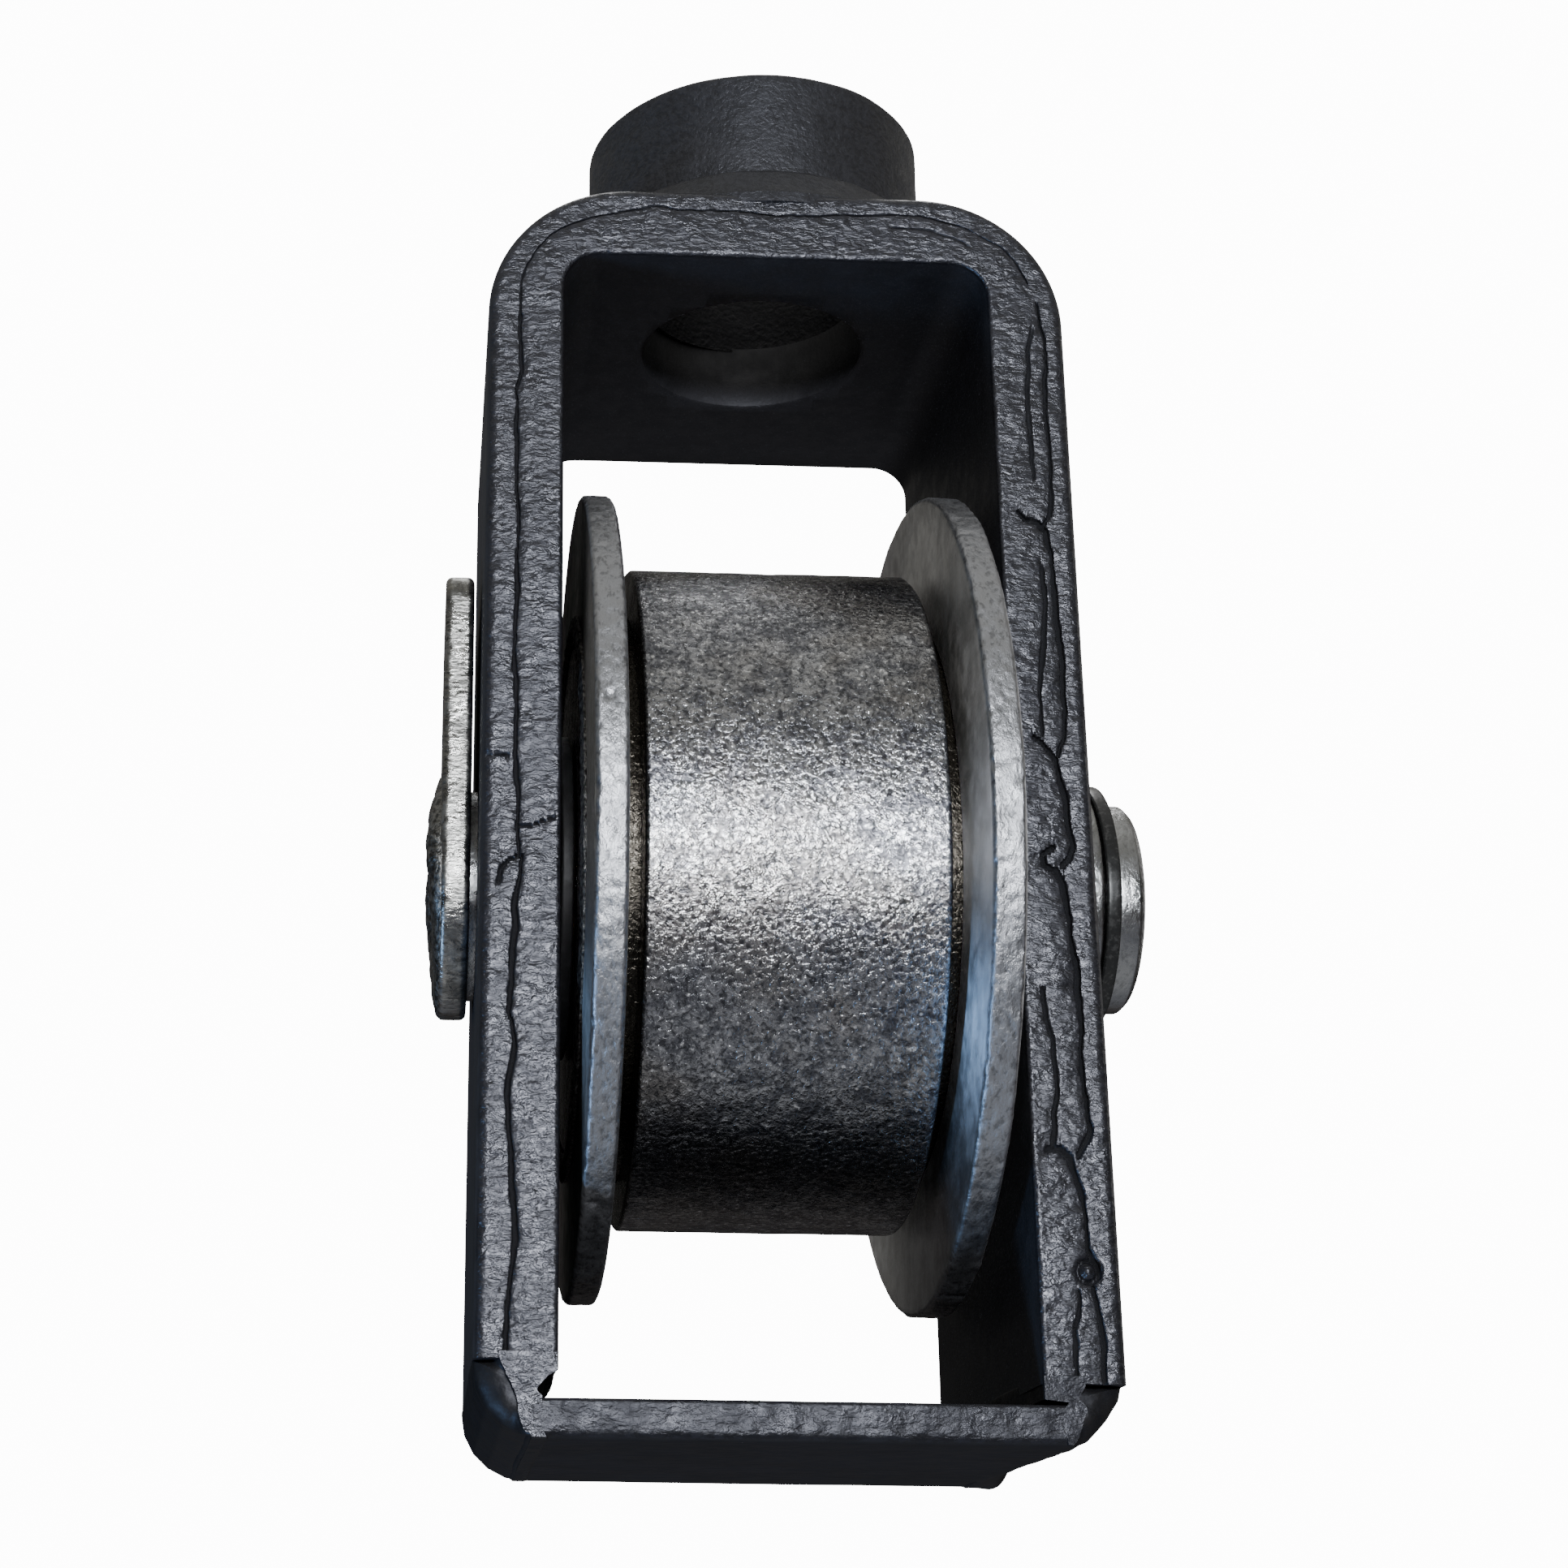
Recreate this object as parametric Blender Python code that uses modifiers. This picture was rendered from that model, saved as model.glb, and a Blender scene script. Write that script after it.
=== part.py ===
"""Bow roller: a flanged steel spool on a pin, carried in a closed yoke with a socket boss on top.

Metres, +Z up. The pin lies along X, the yoke's sheared edges face -Y and +Y, and the origin is the
centre of the bottom bar's underside, so the part stands on Z = 0.
"""

import math

import bmesh
import bpy

# Yoke: a flat bar bent to an upside-down U, closed by a thinner bar under the leg ends.
YOKE_WIDTH = 0.0772
YOKE_DEPTH = 0.0635
STRAP = 0.0101
CROWN_TOP = 0.1664
BEND_OUTER = 0.0190
BEND_INNER = 0.0051
LEFT_LEG_END = 0.0074
RIGHT_LEG_END = 0.0053
STRAP_EDGE = 0.0006
BAR_THICK = 0.00476
BAR_LEFT = -0.0320
BAR_RIGHT = 0.0323
BAR_EDGE = 0.0005

# Corner welds: rounded beads that join each leg end to the bar. The left one also fills the slot
# under its leg as far as WELD_TONGUE.
LEFT_WELD_RADIUS = 0.0095
RIGHT_WELD_RADIUS = 0.0074
WELD_TONGUE = 0.0012
WELD_INSET = 0.0008

# Socket: a hole in the crown, and the bored boss welded over it, a little forward of the middle.
SOCKET_RADIUS = 0.0158
SOCKET_Y = -0.0038
BOSS_X = 0.0006
BOSS_RADIUS = 0.0241
BOSS_HEIGHT = 0.0218
BOSS_EDGE = 0.0006
BOSS_WELD_UP = 0.0058
BOSS_WELD_OUT = 0.0040

# Pin with its keeper plate, spacer and retaining ring. X runs from the plate to the ring.
PIN_Z = 0.0750
PIN_RADIUS = 0.01425
PIN_LEFT = -0.0433
PIN_RIGHT = 0.0498
PIN_CHAMFER = 0.0008
GROOVE_START = 0.0436
GROOVE_END = 0.0461
GROOVE_RADIUS = 0.0132
PLATE_THICK = 0.0039
PLATE_OUTER_X = -0.04345
PLATE_HALF_WIDTH = 0.0169
PLATE_TOP = 0.1165
PLATE_CORNER = 0.0050
PLATE_EDGE = 0.0006
PIN_WELD_HEIGHT = 0.0018
PIN_WELD_INNER = 0.0102
PIN_WELD_OUTER = 0.0165
RING_RADIUS = 0.0169
RING_GAP_DEG = 34.0

# Roller: a bored hub, two flange rings and a drum sleeve pressed over it.
HUB_RADIUS = 0.0381
HUB_LEFT = -0.0260
HUB_RIGHT = 0.0248
HUB_BORE = 0.0178
HUB_BEVEL = 0.0042
DRUM_RADIUS = 0.0448
DRUM_LEFT = -0.0191
DRUM_RIGHT = 0.0180
DRUM_EDGE = 0.0005
LEFT_FLANGE_RADIUS = 0.0546
RIGHT_FLANGE_RADIUS = 0.0556
LEFT_FLANGE = (-0.0258, -0.0217)
RIGHT_FLANGE = (0.0204, 0.0246)
FLANGE_EDGE = 0.0007
FLANGE_WELD_PROUD = 0.0003
BUSH_RADIUS = 0.0175
BUSH_LENGTH = 0.0220
THRUST_THICK = 0.0016
THRUST_RADIUS = 0.0220

# Every pair of neighbouring solids keeps this clearance.
GAP = 0.0003
LARGE_STEPS = 60
SMALL_STEPS = 40
BEND_STEPS = 8
MERGE = 0.00002

PARTS = "bow_roller"
CUTTERS = "cutters"


def clear_scene():
    for old in list(bpy.data.objects):
        bpy.data.objects.remove(old, do_unlink=True)


def collection(name):
    made = bpy.data.collections.new(name)
    bpy.context.scene.collection.children.link(made)
    return made


def material(name, color, roughness, metallic):
    made = bpy.data.materials.new(name)
    made.use_nodes = True
    shader = made.node_tree.nodes["Principled BSDF"]
    shader.inputs["Base Color"].default_value = (*color, 1.0)
    shader.inputs["Roughness"].default_value = roughness
    shader.inputs["Metallic"].default_value = metallic
    return made


def add(name, mesh, group, finish=None):
    obj = bpy.data.objects.new(name, mesh)
    bpy.data.collections[group].objects.link(obj)
    if finish:
        mesh.materials.append(material(name, *finish))
    return obj


def smooth(mesh, angle=35.0):
    mesh.shade_smooth()
    mesh.set_sharp_from_angle(angle=math.radians(angle))


def ring_profile(inner, outer, low, high, edge=0.0, bevel_high=True, bevel_low=True):
    """Section of a turned ring as (radius, height), down its outer side and back up its bore."""
    section = []
    if edge and bevel_high:
        section += [(outer - edge, high), (outer, high - edge)]
    else:
        section += [(outer, high)]
    if edge and bevel_low:
        section += [(outer, low + edge), (outer - edge, low)]
    else:
        section += [(outer, low)]
    return section + [(inner, low), (inner, high)]


def turned(name, section, closed, steps, finish):
    """Solid of revolution about local Z, made from its section with a Screw modifier."""
    mesh = bpy.data.meshes.new(name)
    points = [(radius, 0.0, height) for radius, height in section]
    edges = [(i, i + 1) for i in range(len(points) - 1)]
    if closed:
        edges.append((len(points) - 1, 0))
    mesh.from_pydata(points, edges, [])
    obj = add(name, mesh, PARTS, finish)
    screw = obj.modifiers.new("turn", "SCREW")
    screw.axis = "Z"
    screw.angle = math.tau
    screw.steps = steps
    screw.render_steps = steps
    screw.use_smooth_shade = True
    screw.use_merge_vertices = True
    screw.merge_threshold = MERGE
    return obj


def on_pin(obj):
    """Lays a turned piece along the pin: its local Z becomes world X."""
    obj.location = (0.0, 0.0, PIN_Z)
    obj.rotation_euler = (0.0, math.radians(90.0), 0.0)
    return obj


def flat_piece(name, outline, thickness, rotation, location, finish, edge=0.0, segments=1):
    """A flat outline extruded to both sides of its plane, made a mesh and given bevelled edges."""
    curve = bpy.data.curves.new(name, "CURVE")
    curve.dimensions = "2D"
    curve.fill_mode = "BOTH"
    curve.extrude = thickness / 2
    line = curve.splines.new("POLY")
    line.points.add(len(outline) - 1)
    for point, (x, y) in zip(line.points, outline):
        point.co = (x, y, 0.0, 1.0)
    line.use_cyclic_u = True
    guide = bpy.data.objects.new(name + "_outline", curve)
    bpy.data.collections[PARTS].objects.link(guide)
    guide.rotation_euler = rotation
    guide.location = location
    bpy.context.view_layer.update()
    depsgraph = bpy.context.evaluated_depsgraph_get()
    mesh = bpy.data.meshes.new_from_object(guide.evaluated_get(depsgraph))
    work = bmesh.new()
    work.from_mesh(mesh)
    bmesh.ops.remove_doubles(work, verts=work.verts, dist=MERGE)
    bmesh.ops.recalc_face_normals(work, faces=work.faces)
    work.to_mesh(mesh)
    work.free()
    mesh.materials.clear()
    smooth(mesh)
    obj = add(name, mesh, PARTS, finish)
    obj.matrix_world = guide.matrix_world.copy()
    bpy.data.objects.remove(guide, do_unlink=True)
    if edge:
        bevel = obj.modifiers.new("edges", "BEVEL")
        bevel.width = edge
        bevel.segments = segments
        bevel.limit_method = "ANGLE"
        bevel.angle_limit = math.radians(40.0)
    return obj


def cut(obj, radius, length, location, rotation):
    """Cuts a round hole with an exact Boolean."""
    work = bmesh.new()
    bmesh.ops.create_cone(
        work, cap_ends=True, segments=SMALL_STEPS, radius1=radius, radius2=radius, depth=length
    )
    mesh = bpy.data.meshes.new(obj.name + "_cutter")
    work.to_mesh(mesh)
    work.free()
    cutter = add(obj.name + "_cutter", mesh, CUTTERS)
    cutter.location = location
    cutter.rotation_euler = rotation
    cutter.hide_render = True
    cutter.display_type = "WIRE"
    boolean = obj.modifiers.new("hole", "BOOLEAN")
    boolean.operation = "DIFFERENCE"
    boolean.solver = "EXACT"
    boolean.object = cutter
    return obj


def arc(centre_x, centre_y, radius, start_deg, end_deg, steps):
    points = []
    for i in range(steps + 1):
        turn = math.radians(start_deg + (end_deg - start_deg) * i / steps)
        points.append((centre_x + radius * math.cos(turn), centre_y + radius * math.sin(turn)))
    return points


# Finishes: colour, roughness, metallic.
POWDER_COAT = ((0.035, 0.036, 0.042), 0.55, 0.0)
ZINC = ((0.52, 0.53, 0.54), 0.38, 1.0)
ZINC_WELD = ((0.42, 0.42, 0.41), 0.50, 1.0)
DARK_STEEL = ((0.08, 0.085, 0.08), 0.45, 0.8)
BRONZE = ((0.60, 0.42, 0.20), 0.40, 1.0)
BLACK_NYLON = ((0.03, 0.03, 0.03), 0.60, 0.0)

FRONT_PLANE = (math.radians(90.0), 0.0, 0.0)
SIDE_PLANE = (math.radians(90.0), 0.0, math.radians(90.0))
ALONG_PIN = (0.0, math.radians(90.0), 0.0)


def yoke_strap():
    """The bent bar, drilled through both legs for the pin and through the crown for the socket.

    Its bends are pressed hard, so the metal is thinner across them.
    """
    half = YOKE_WIDTH / 2
    outer_x, outer_z = half - BEND_OUTER, CROWN_TOP - BEND_OUTER
    inner_x, inner_z = half - STRAP - BEND_INNER, CROWN_TOP - STRAP - BEND_INNER
    outline = [(half - STRAP, RIGHT_LEG_END), (half, RIGHT_LEG_END)]
    outline += arc(outer_x, outer_z, BEND_OUTER, 0, 90, BEND_STEPS)
    outline += arc(-outer_x, outer_z, BEND_OUTER, 90, 180, BEND_STEPS)
    outline += [(-half, LEFT_LEG_END), (-half + STRAP, LEFT_LEG_END)]
    outline += arc(-inner_x, inner_z, BEND_INNER, 180, 90, BEND_STEPS)
    outline += arc(inner_x, inner_z, BEND_INNER, 90, 0, BEND_STEPS)
    strap = flat_piece(
        "yoke_strap", outline, YOKE_DEPTH, FRONT_PLANE, (0, 0, 0), POWDER_COAT, STRAP_EDGE
    )
    cut(strap, PIN_RADIUS + GAP, 2 * YOKE_WIDTH, (0, 0, PIN_Z), ALONG_PIN)
    cut(strap, SOCKET_RADIUS, 4 * STRAP, (0, SOCKET_Y, CROWN_TOP), (0, 0, 0))


def bottom_bar():
    outline = [(BAR_LEFT, 0), (BAR_RIGHT, 0), (BAR_RIGHT, BAR_THICK), (BAR_LEFT, BAR_THICK)]
    flat_piece(
        "bottom_bar", outline, YOKE_DEPTH, FRONT_PLANE, (0, 0, 0), POWDER_COAT, BAR_EDGE
    )


def corner_weld(name, side, bar_end, leg_end, radius, tongue):
    """A bead round a lower corner, from the leg's outer face to the bar's underside.

    It is drawn for the +X side and mirrored by side. The tongue runs on between leg and bar.
    """
    half = YOKE_WIDTH / 2 - GAP
    leg_clear = leg_end - GAP
    bar_clear = abs(bar_end) + GAP
    centre_x = half - radius
    outline = []
    for x, z in arc(centre_x, radius, radius, -90, 0, BEND_STEPS):
        if x > bar_clear and z < leg_clear:
            outline.append((x, z))
    foot_z = radius - math.sqrt(radius**2 - (bar_clear - centre_x) ** 2)
    top_x = centre_x + math.sqrt(radius**2 - (radius - leg_clear) ** 2)
    outline.insert(0, (bar_clear, foot_z))
    outline.append((top_x, leg_clear))
    if tongue:
        slot = BAR_THICK + GAP
        outline += [(bar_clear - tongue, leg_clear), (bar_clear - tongue, slot), (bar_clear, slot)]
    else:
        outline += [(bar_clear, leg_clear)]
    placed = [(side * x, z) for x, z in outline]
    depth = YOKE_DEPTH - 2 * WELD_INSET
    flat_piece(name, placed, depth, FRONT_PLANE, (0, 0, 0), POWDER_COAT)


def boss():
    """The bored boss and the fillet weld round its foot."""
    foot = CROWN_TOP + GAP
    top = CROWN_TOP + BOSS_HEIGHT
    section = ring_profile(SOCKET_RADIUS, BOSS_RADIUS, foot, top, BOSS_EDGE, bevel_low=False)
    tube = turned("boss_tube", section, True, SMALL_STEPS, POWDER_COAT)
    inner = BOSS_RADIUS + GAP
    weld = turned(
        "boss_weld",
        [(inner, foot + BOSS_WELD_UP), (inner + BOSS_WELD_OUT, foot), (inner, foot)],
        True,
        SMALL_STEPS,
        POWDER_COAT,
    )
    for piece in (tube, weld):
        piece.location = (BOSS_X, SOCKET_Y, 0)


def pin_shaft():
    """The pin, grooved for its retaining ring and chamfered at its free end."""
    section = [
        (0, PIN_RIGHT),
        (PIN_RADIUS - PIN_CHAMFER, PIN_RIGHT),
        (PIN_RADIUS, PIN_RIGHT - PIN_CHAMFER),
        (PIN_RADIUS, GROOVE_END),
        (GROOVE_RADIUS, GROOVE_END),
        (GROOVE_RADIUS, GROOVE_START),
        (PIN_RADIUS, GROOVE_START),
        (PIN_RADIUS, PIN_LEFT),
        (0, PIN_LEFT),
    ]
    on_pin(turned("pin_shaft", section, False, SMALL_STEPS, ZINC))


def keeper_plate():
    """The tail plate on the pin's left end: round below, square with round corners on top."""
    corner_y = PLATE_HALF_WIDTH - PLATE_CORNER
    corner_z = PLATE_TOP - PLATE_CORNER
    outline = arc(0, PIN_Z, PLATE_HALF_WIDTH, 180, 360, 2 * BEND_STEPS)
    outline += arc(corner_y, corner_z, PLATE_CORNER, 0, 90, BEND_STEPS // 2)
    outline += arc(-corner_y, corner_z, PLATE_CORNER, 90, 180, BEND_STEPS // 2)
    middle = PLATE_OUTER_X + PLATE_THICK / 2
    plate = flat_piece(
        "keeper_plate", outline, PLATE_THICK, SIDE_PLANE, (middle, 0, 0), ZINC, PLATE_EDGE
    )
    cut(plate, PIN_RADIUS + GAP, 4 * PLATE_THICK, (middle, 0, PIN_Z), ALONG_PIN)


def keeper_weld():
    """The bead that joins the pin's end to the plate's outer face."""
    base = PLATE_OUTER_X - GAP
    crest = base - PIN_WELD_HEIGHT
    middle = (PIN_WELD_INNER + PIN_WELD_OUTER) / 2
    section = [
        (PIN_WELD_OUTER, base),
        (middle + (PIN_WELD_OUTER - middle) / 2, crest + PIN_WELD_HEIGHT / 4),
        (middle, crest),
        (middle - (middle - PIN_WELD_INNER) / 2, crest + PIN_WELD_HEIGHT / 4),
        (PIN_WELD_INNER, base),
    ]
    on_pin(turned("keeper_weld", section, True, SMALL_STEPS, ZINC_WELD))


def pin_spacer():
    """The thick washer between the right leg and the retaining ring."""
    start = YOKE_WIDTH / 2 + GAP
    section = ring_profile(PIN_RADIUS + GAP, RING_RADIUS, start, GROOVE_START)
    on_pin(turned("pin_spacer", section, True, SMALL_STEPS, ZINC))


def snap_ring():
    """An open ring in the pin's groove, with its gap towards +Y."""
    gap = RING_GAP_DEG / 2
    outline = arc(0, PIN_Z, RING_RADIUS, gap, 360 - gap, SMALL_STEPS)
    outline += arc(0, PIN_Z, GROOVE_RADIUS + GAP, 360 - gap, gap, SMALL_STEPS)
    width = GROOVE_END - GROOVE_START - 2 * GAP
    middle = (GROOVE_START + GROOVE_END) / 2
    flat_piece("snap_ring", outline, width, SIDE_PLANE, (middle, 0, 0), DARK_STEEL)


def hub():
    """The bored hub. Each end's outer corner is bevelled for the flange's weld."""
    shoulder = HUB_RADIUS - HUB_BEVEL
    section = [
        (shoulder, HUB_RIGHT),
        (HUB_RADIUS, HUB_RIGHT - HUB_BEVEL * 0.8),
        (HUB_RADIUS, HUB_LEFT + HUB_BEVEL * 0.8),
        (shoulder, HUB_LEFT),
        (HUB_BORE, HUB_LEFT),
        (HUB_BORE, HUB_RIGHT),
    ]
    on_pin(turned("hub", section, True, LARGE_STEPS, ZINC))


def drum_sleeve():
    section = ring_profile(HUB_RADIUS + GAP, DRUM_RADIUS, DRUM_LEFT, DRUM_RIGHT, DRUM_EDGE)
    on_pin(turned("drum_sleeve", section, True, LARGE_STEPS, ZINC))


def flange(name, span, radius):
    section = ring_profile(HUB_RADIUS + GAP, radius, *span, FLANGE_EDGE)
    on_pin(turned(name, section, True, LARGE_STEPS, ZINC))


def flange_weld(name, side, hub_end, flange_face):
    """The ring of weld metal in the bevel between a hub end and its flange."""
    face = abs(flange_face) + FLANGE_WELD_PROUD
    slope_gap = 2 * GAP
    shoulder = HUB_RADIUS - HUB_BEVEL + slope_gap
    depth = abs(hub_end) - HUB_BEVEL * 0.8 + slope_gap
    section = [(HUB_RADIUS, face), (HUB_RADIUS, depth), (shoulder, face)]
    if side < 0:
        section = [(radius, -height) for radius, height in reversed(section)]
    on_pin(turned(name, section, True, LARGE_STEPS, ZINC_WELD))


def bushing(name, start):
    section = ring_profile(PIN_RADIUS + GAP, BUSH_RADIUS, start, start + BUSH_LENGTH)
    on_pin(turned(name, section, True, SMALL_STEPS, BRONZE))


def thrust_washer(name, start):
    section = ring_profile(PIN_RADIUS + GAP, THRUST_RADIUS, start, start + THRUST_THICK)
    on_pin(turned(name, section, True, SMALL_STEPS, BLACK_NYLON))


def main():
    clear_scene()
    collection(PARTS)
    collection(CUTTERS)
    yoke_strap()
    bottom_bar()
    corner_weld(
        "corner_weld_left", -1, BAR_LEFT, LEFT_LEG_END, LEFT_WELD_RADIUS, WELD_TONGUE
    )
    corner_weld("corner_weld_right", 1, BAR_RIGHT, RIGHT_LEG_END, RIGHT_WELD_RADIUS, 0.0)
    boss()
    pin_shaft()
    keeper_plate()
    keeper_weld()
    pin_spacer()
    snap_ring()
    hub()
    drum_sleeve()
    flange("flange_left", LEFT_FLANGE, LEFT_FLANGE_RADIUS)
    flange("flange_right", RIGHT_FLANGE, RIGHT_FLANGE_RADIUS)
    flange_weld("flange_weld_left", -1, HUB_LEFT, LEFT_FLANGE[0])
    flange_weld("flange_weld_right", 1, HUB_RIGHT, RIGHT_FLANGE[1])
    bushing("bushing_left", HUB_LEFT)
    bushing("bushing_right", HUB_RIGHT - BUSH_LENGTH)
    thrust_washer("thrust_washer_left", HUB_LEFT - GAP - THRUST_THICK)
    thrust_washer("thrust_washer_right", HUB_RIGHT + GAP)
    bpy.context.view_layer.update()


main()
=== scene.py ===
"""Looks of the bow roller: a black powder coated yoke and a zinc plated roller, pin and plate.

Metres, +Z up, in the CAD model's frame: the pin lies along X, and the yoke's cut edges face -Y and +Y.
Points of cracks and welds, and the scales of the material patterns, are in millimetres.
"""

import itertools
import math

import bmesh
import bpy
import numpy as np
from mathutils import Matrix, Vector

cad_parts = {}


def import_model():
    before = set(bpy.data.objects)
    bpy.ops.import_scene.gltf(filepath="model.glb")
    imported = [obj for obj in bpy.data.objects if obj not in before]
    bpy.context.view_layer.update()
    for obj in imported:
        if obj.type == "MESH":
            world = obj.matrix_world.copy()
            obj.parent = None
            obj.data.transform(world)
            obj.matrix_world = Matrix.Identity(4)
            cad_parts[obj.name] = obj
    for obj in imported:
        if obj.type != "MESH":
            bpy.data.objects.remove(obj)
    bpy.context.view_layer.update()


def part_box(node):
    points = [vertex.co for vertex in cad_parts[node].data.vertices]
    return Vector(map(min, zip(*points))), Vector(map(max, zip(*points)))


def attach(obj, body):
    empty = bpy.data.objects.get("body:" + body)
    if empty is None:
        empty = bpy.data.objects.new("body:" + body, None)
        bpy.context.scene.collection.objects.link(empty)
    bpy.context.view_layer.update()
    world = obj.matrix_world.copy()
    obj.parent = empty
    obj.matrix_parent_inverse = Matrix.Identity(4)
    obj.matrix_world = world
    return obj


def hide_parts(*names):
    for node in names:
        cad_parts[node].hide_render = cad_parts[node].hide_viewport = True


MM = 0.001

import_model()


# -------------------- sizes read from the frame

STRAP_LOW, STRAP_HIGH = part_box("yoke_strap")
BAR_LOW, BAR_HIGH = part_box("bottom_bar")
BOSS_LOW, BOSS_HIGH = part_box("boss_tube")
BOSS_WELD_LOW, BOSS_WELD_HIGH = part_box("boss_weld")
PIN_LOW, PIN_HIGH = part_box("pin_shaft")
PLATE_LOW, PLATE_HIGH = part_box("keeper_plate")
PIN_WELD_LOW, PIN_WELD_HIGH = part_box("keeper_weld")
RING_LOW, RING_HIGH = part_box("snap_ring")
HUB_LOW, HUB_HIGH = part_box("hub")
DRUM_LOW, DRUM_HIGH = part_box("drum_sleeve")


def half_height(low, high):
    return (high.z - low.z) / 2


AXIS_Z = (PIN_LOW.z + PIN_HIGH.z) / 2
PIN_RADIUS = half_height(PIN_LOW, PIN_HIGH)
RING_RADIUS = half_height(RING_LOW, RING_HIGH)
HUB_RADIUS = half_height(HUB_LOW, HUB_HIGH)
DRUM_RADIUS = half_height(DRUM_LOW, DRUM_HIGH)
BOSS_RADIUS = (BOSS_HIGH.x - BOSS_LOW.x) / 2
BOSS_X = (BOSS_HIGH.x + BOSS_LOW.x) / 2
SOCKET_Y = (BOSS_HIGH.y + BOSS_LOW.y) / 2
BOSS_WELD_RADIUS = (BOSS_WELD_HIGH.x - BOSS_WELD_LOW.x) / 2
HALF_WIDTH = STRAP_HIGH.x
FRONT, BACK = STRAP_LOW.y, STRAP_HIGH.y
CROWN_TOP = STRAP_HIGH.z

# Sizes that the boxes don't show, as in the CAD model.
STRAP = 0.0101
BEND_OUTER = 0.0190
BEND_INNER = 0.0051
SOCKET_RADIUS = 0.0158
GROOVE_START = 0.0436
GROOVE_END = 0.0461
GROOVE_RADIUS = 0.0132
PLATE_CORNER = 0.0050
HUB_BORE = 0.0178
HUB_BEVEL = 0.0042
RING_GAP_DEG = 34.0
GAP = 0.0003

# Bores that clear the pin and the hub.
ON_PIN = PIN_RADIUS + GAP
ON_HUB = HUB_RADIUS + GAP

# The leg ends stop a little higher here than in the CAD model, and the corner welds reach up to them.
LEFT_LEG_END = 0.0092
RIGHT_LEG_END = 0.0072


# -------------------- noise for shapes

LATTICE = 48


def lattice_noise(points, size, seed):
    """Smooth noise from -1 to 1 at each row of points, with features about size across."""
    table = np.random.default_rng(seed).uniform(-1.0, 1.0, (LATTICE, LATTICE, LATTICE))
    scaled = np.asarray(points, float) / size
    cell = np.floor(scaled).astype(int)
    part = scaled - cell
    part = part * part * (3 - 2 * part)
    total = np.zeros(len(scaled))
    for step in itertools.product((0, 1), repeat=3):
        corner = (cell + step) % LATTICE
        weight = np.prod(np.where(step, part, 1 - part), axis=1)
        total += weight * table[tuple(corner.T)]
    return total


def rough(points, size, seed, octaves=3):
    """Several octaves of lattice noise, each half the size and half the height of the last."""
    total = np.zeros(len(points))
    for octave in range(octaves):
        total += lattice_noise(points, size / 2**octave, seed + octave) / 2**octave
    return total


def at_x(x, y, z):
    """Points that lie at one x, as rows."""
    return np.stack([np.full(len(y), x), y, z], 1)


def rises(values, start, end):
    """Smooth step from 0 at start to 1 at end."""
    part = np.clip((values - start) / (end - start), 0.0, 1.0)
    return part * part * (3 - 2 * part)


# -------------------- mesh helpers


def mesh_object(name, vertices, faces, material, smooth_angle=40.0):
    mesh = bpy.data.meshes.new(name)
    mesh.from_pydata([tuple(v) for v in vertices], [], faces)
    mesh.validate()
    mesh.materials.append(material)
    mesh.shade_smooth()
    mesh.set_sharp_from_angle(angle=math.radians(smooth_angle))
    obj = bpy.data.objects.new(name, mesh)
    bpy.context.scene.collection.objects.link(obj)
    return obj


def tidy_mesh(obj):
    """Welds what meets, drops empty faces and turns every face outward."""
    work = bmesh.new()
    work.from_mesh(obj.data)
    bmesh.ops.remove_doubles(work, verts=work.verts, dist=1e-7)
    bmesh.ops.dissolve_degenerate(work, edges=work.edges, dist=1e-8)
    bmesh.ops.delete(work, geom=[edge for edge in work.edges if not edge.link_faces], context="EDGES")
    bmesh.ops.recalc_face_normals(work, faces=work.faces)
    if work.calc_volume(signed=True) < 0:
        bmesh.ops.reverse_faces(work, faces=work.faces)
    work.to_mesh(obj.data)
    work.free()


def loft(name, rows, material, ring=False, smooth_angle=40.0, crack=None):
    """Closed solid through rows of points. Each row is a closed loop of the same number of points.

    The first and last rows are capped, unless ring joins them to each other. crack holds a value per
    point: how deep in a crack it lies, which the coat paints dark as shade and roughens.
    """
    rows = np.asarray(rows)
    count, columns = rows.shape[:2]
    faces = []
    for i in range(count if ring else count - 1):
        j = (i + 1) % count
        for k in range(columns):
            m = (k + 1) % columns
            faces.append((i * columns + k, i * columns + m, j * columns + m, j * columns + k))
    if not ring:
        faces.append(tuple(range(columns))[::-1])
        faces.append(tuple(range((count - 1) * columns, count * columns)))
    obj = mesh_object(name, rows.reshape(-1, 3), faces, material, smooth_angle)
    if crack is not None:
        obj.data.attributes.new("crack", "FLOAT", "POINT").data.foreach_set("value", crack)
    tidy_mesh(obj)
    return obj


def rounded(corners, radius, steps=4):
    """A closed outline with every corner rounded. A corner may carry its own radius as a third value."""
    points = []
    count = len(corners)
    for i, corner in enumerate(corners):
        here = Vector(corner[:2])
        before = Vector(corners[i - 1][:2]) - here
        after = Vector(corners[(i + 1) % count][:2]) - here
        want = corner[2] if len(corner) > 2 else radius
        if want <= 0:
            points.append(tuple(here))
            continue
        half = before.angle(after) / 2
        reach = want / math.tan(half)
        start = here + before.normalized() * reach
        end = here + after.normalized() * reach
        centre = here + (before.normalized() + after.normalized()).normalized() * want / math.sin(half)
        sweep = (start - centre).angle(end - centre)
        turn = 1 if before.cross(after) < 0 else -1
        spoke = start - centre
        for k in range(steps + 1):
            angle = turn * sweep * k / steps
            x = centre.x + spoke.x * math.cos(angle) - spoke.y * math.sin(angle)
            y = centre.y + spoke.x * math.sin(angle) + spoke.y * math.cos(angle)
            points.append((x, y))
    return points


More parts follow.
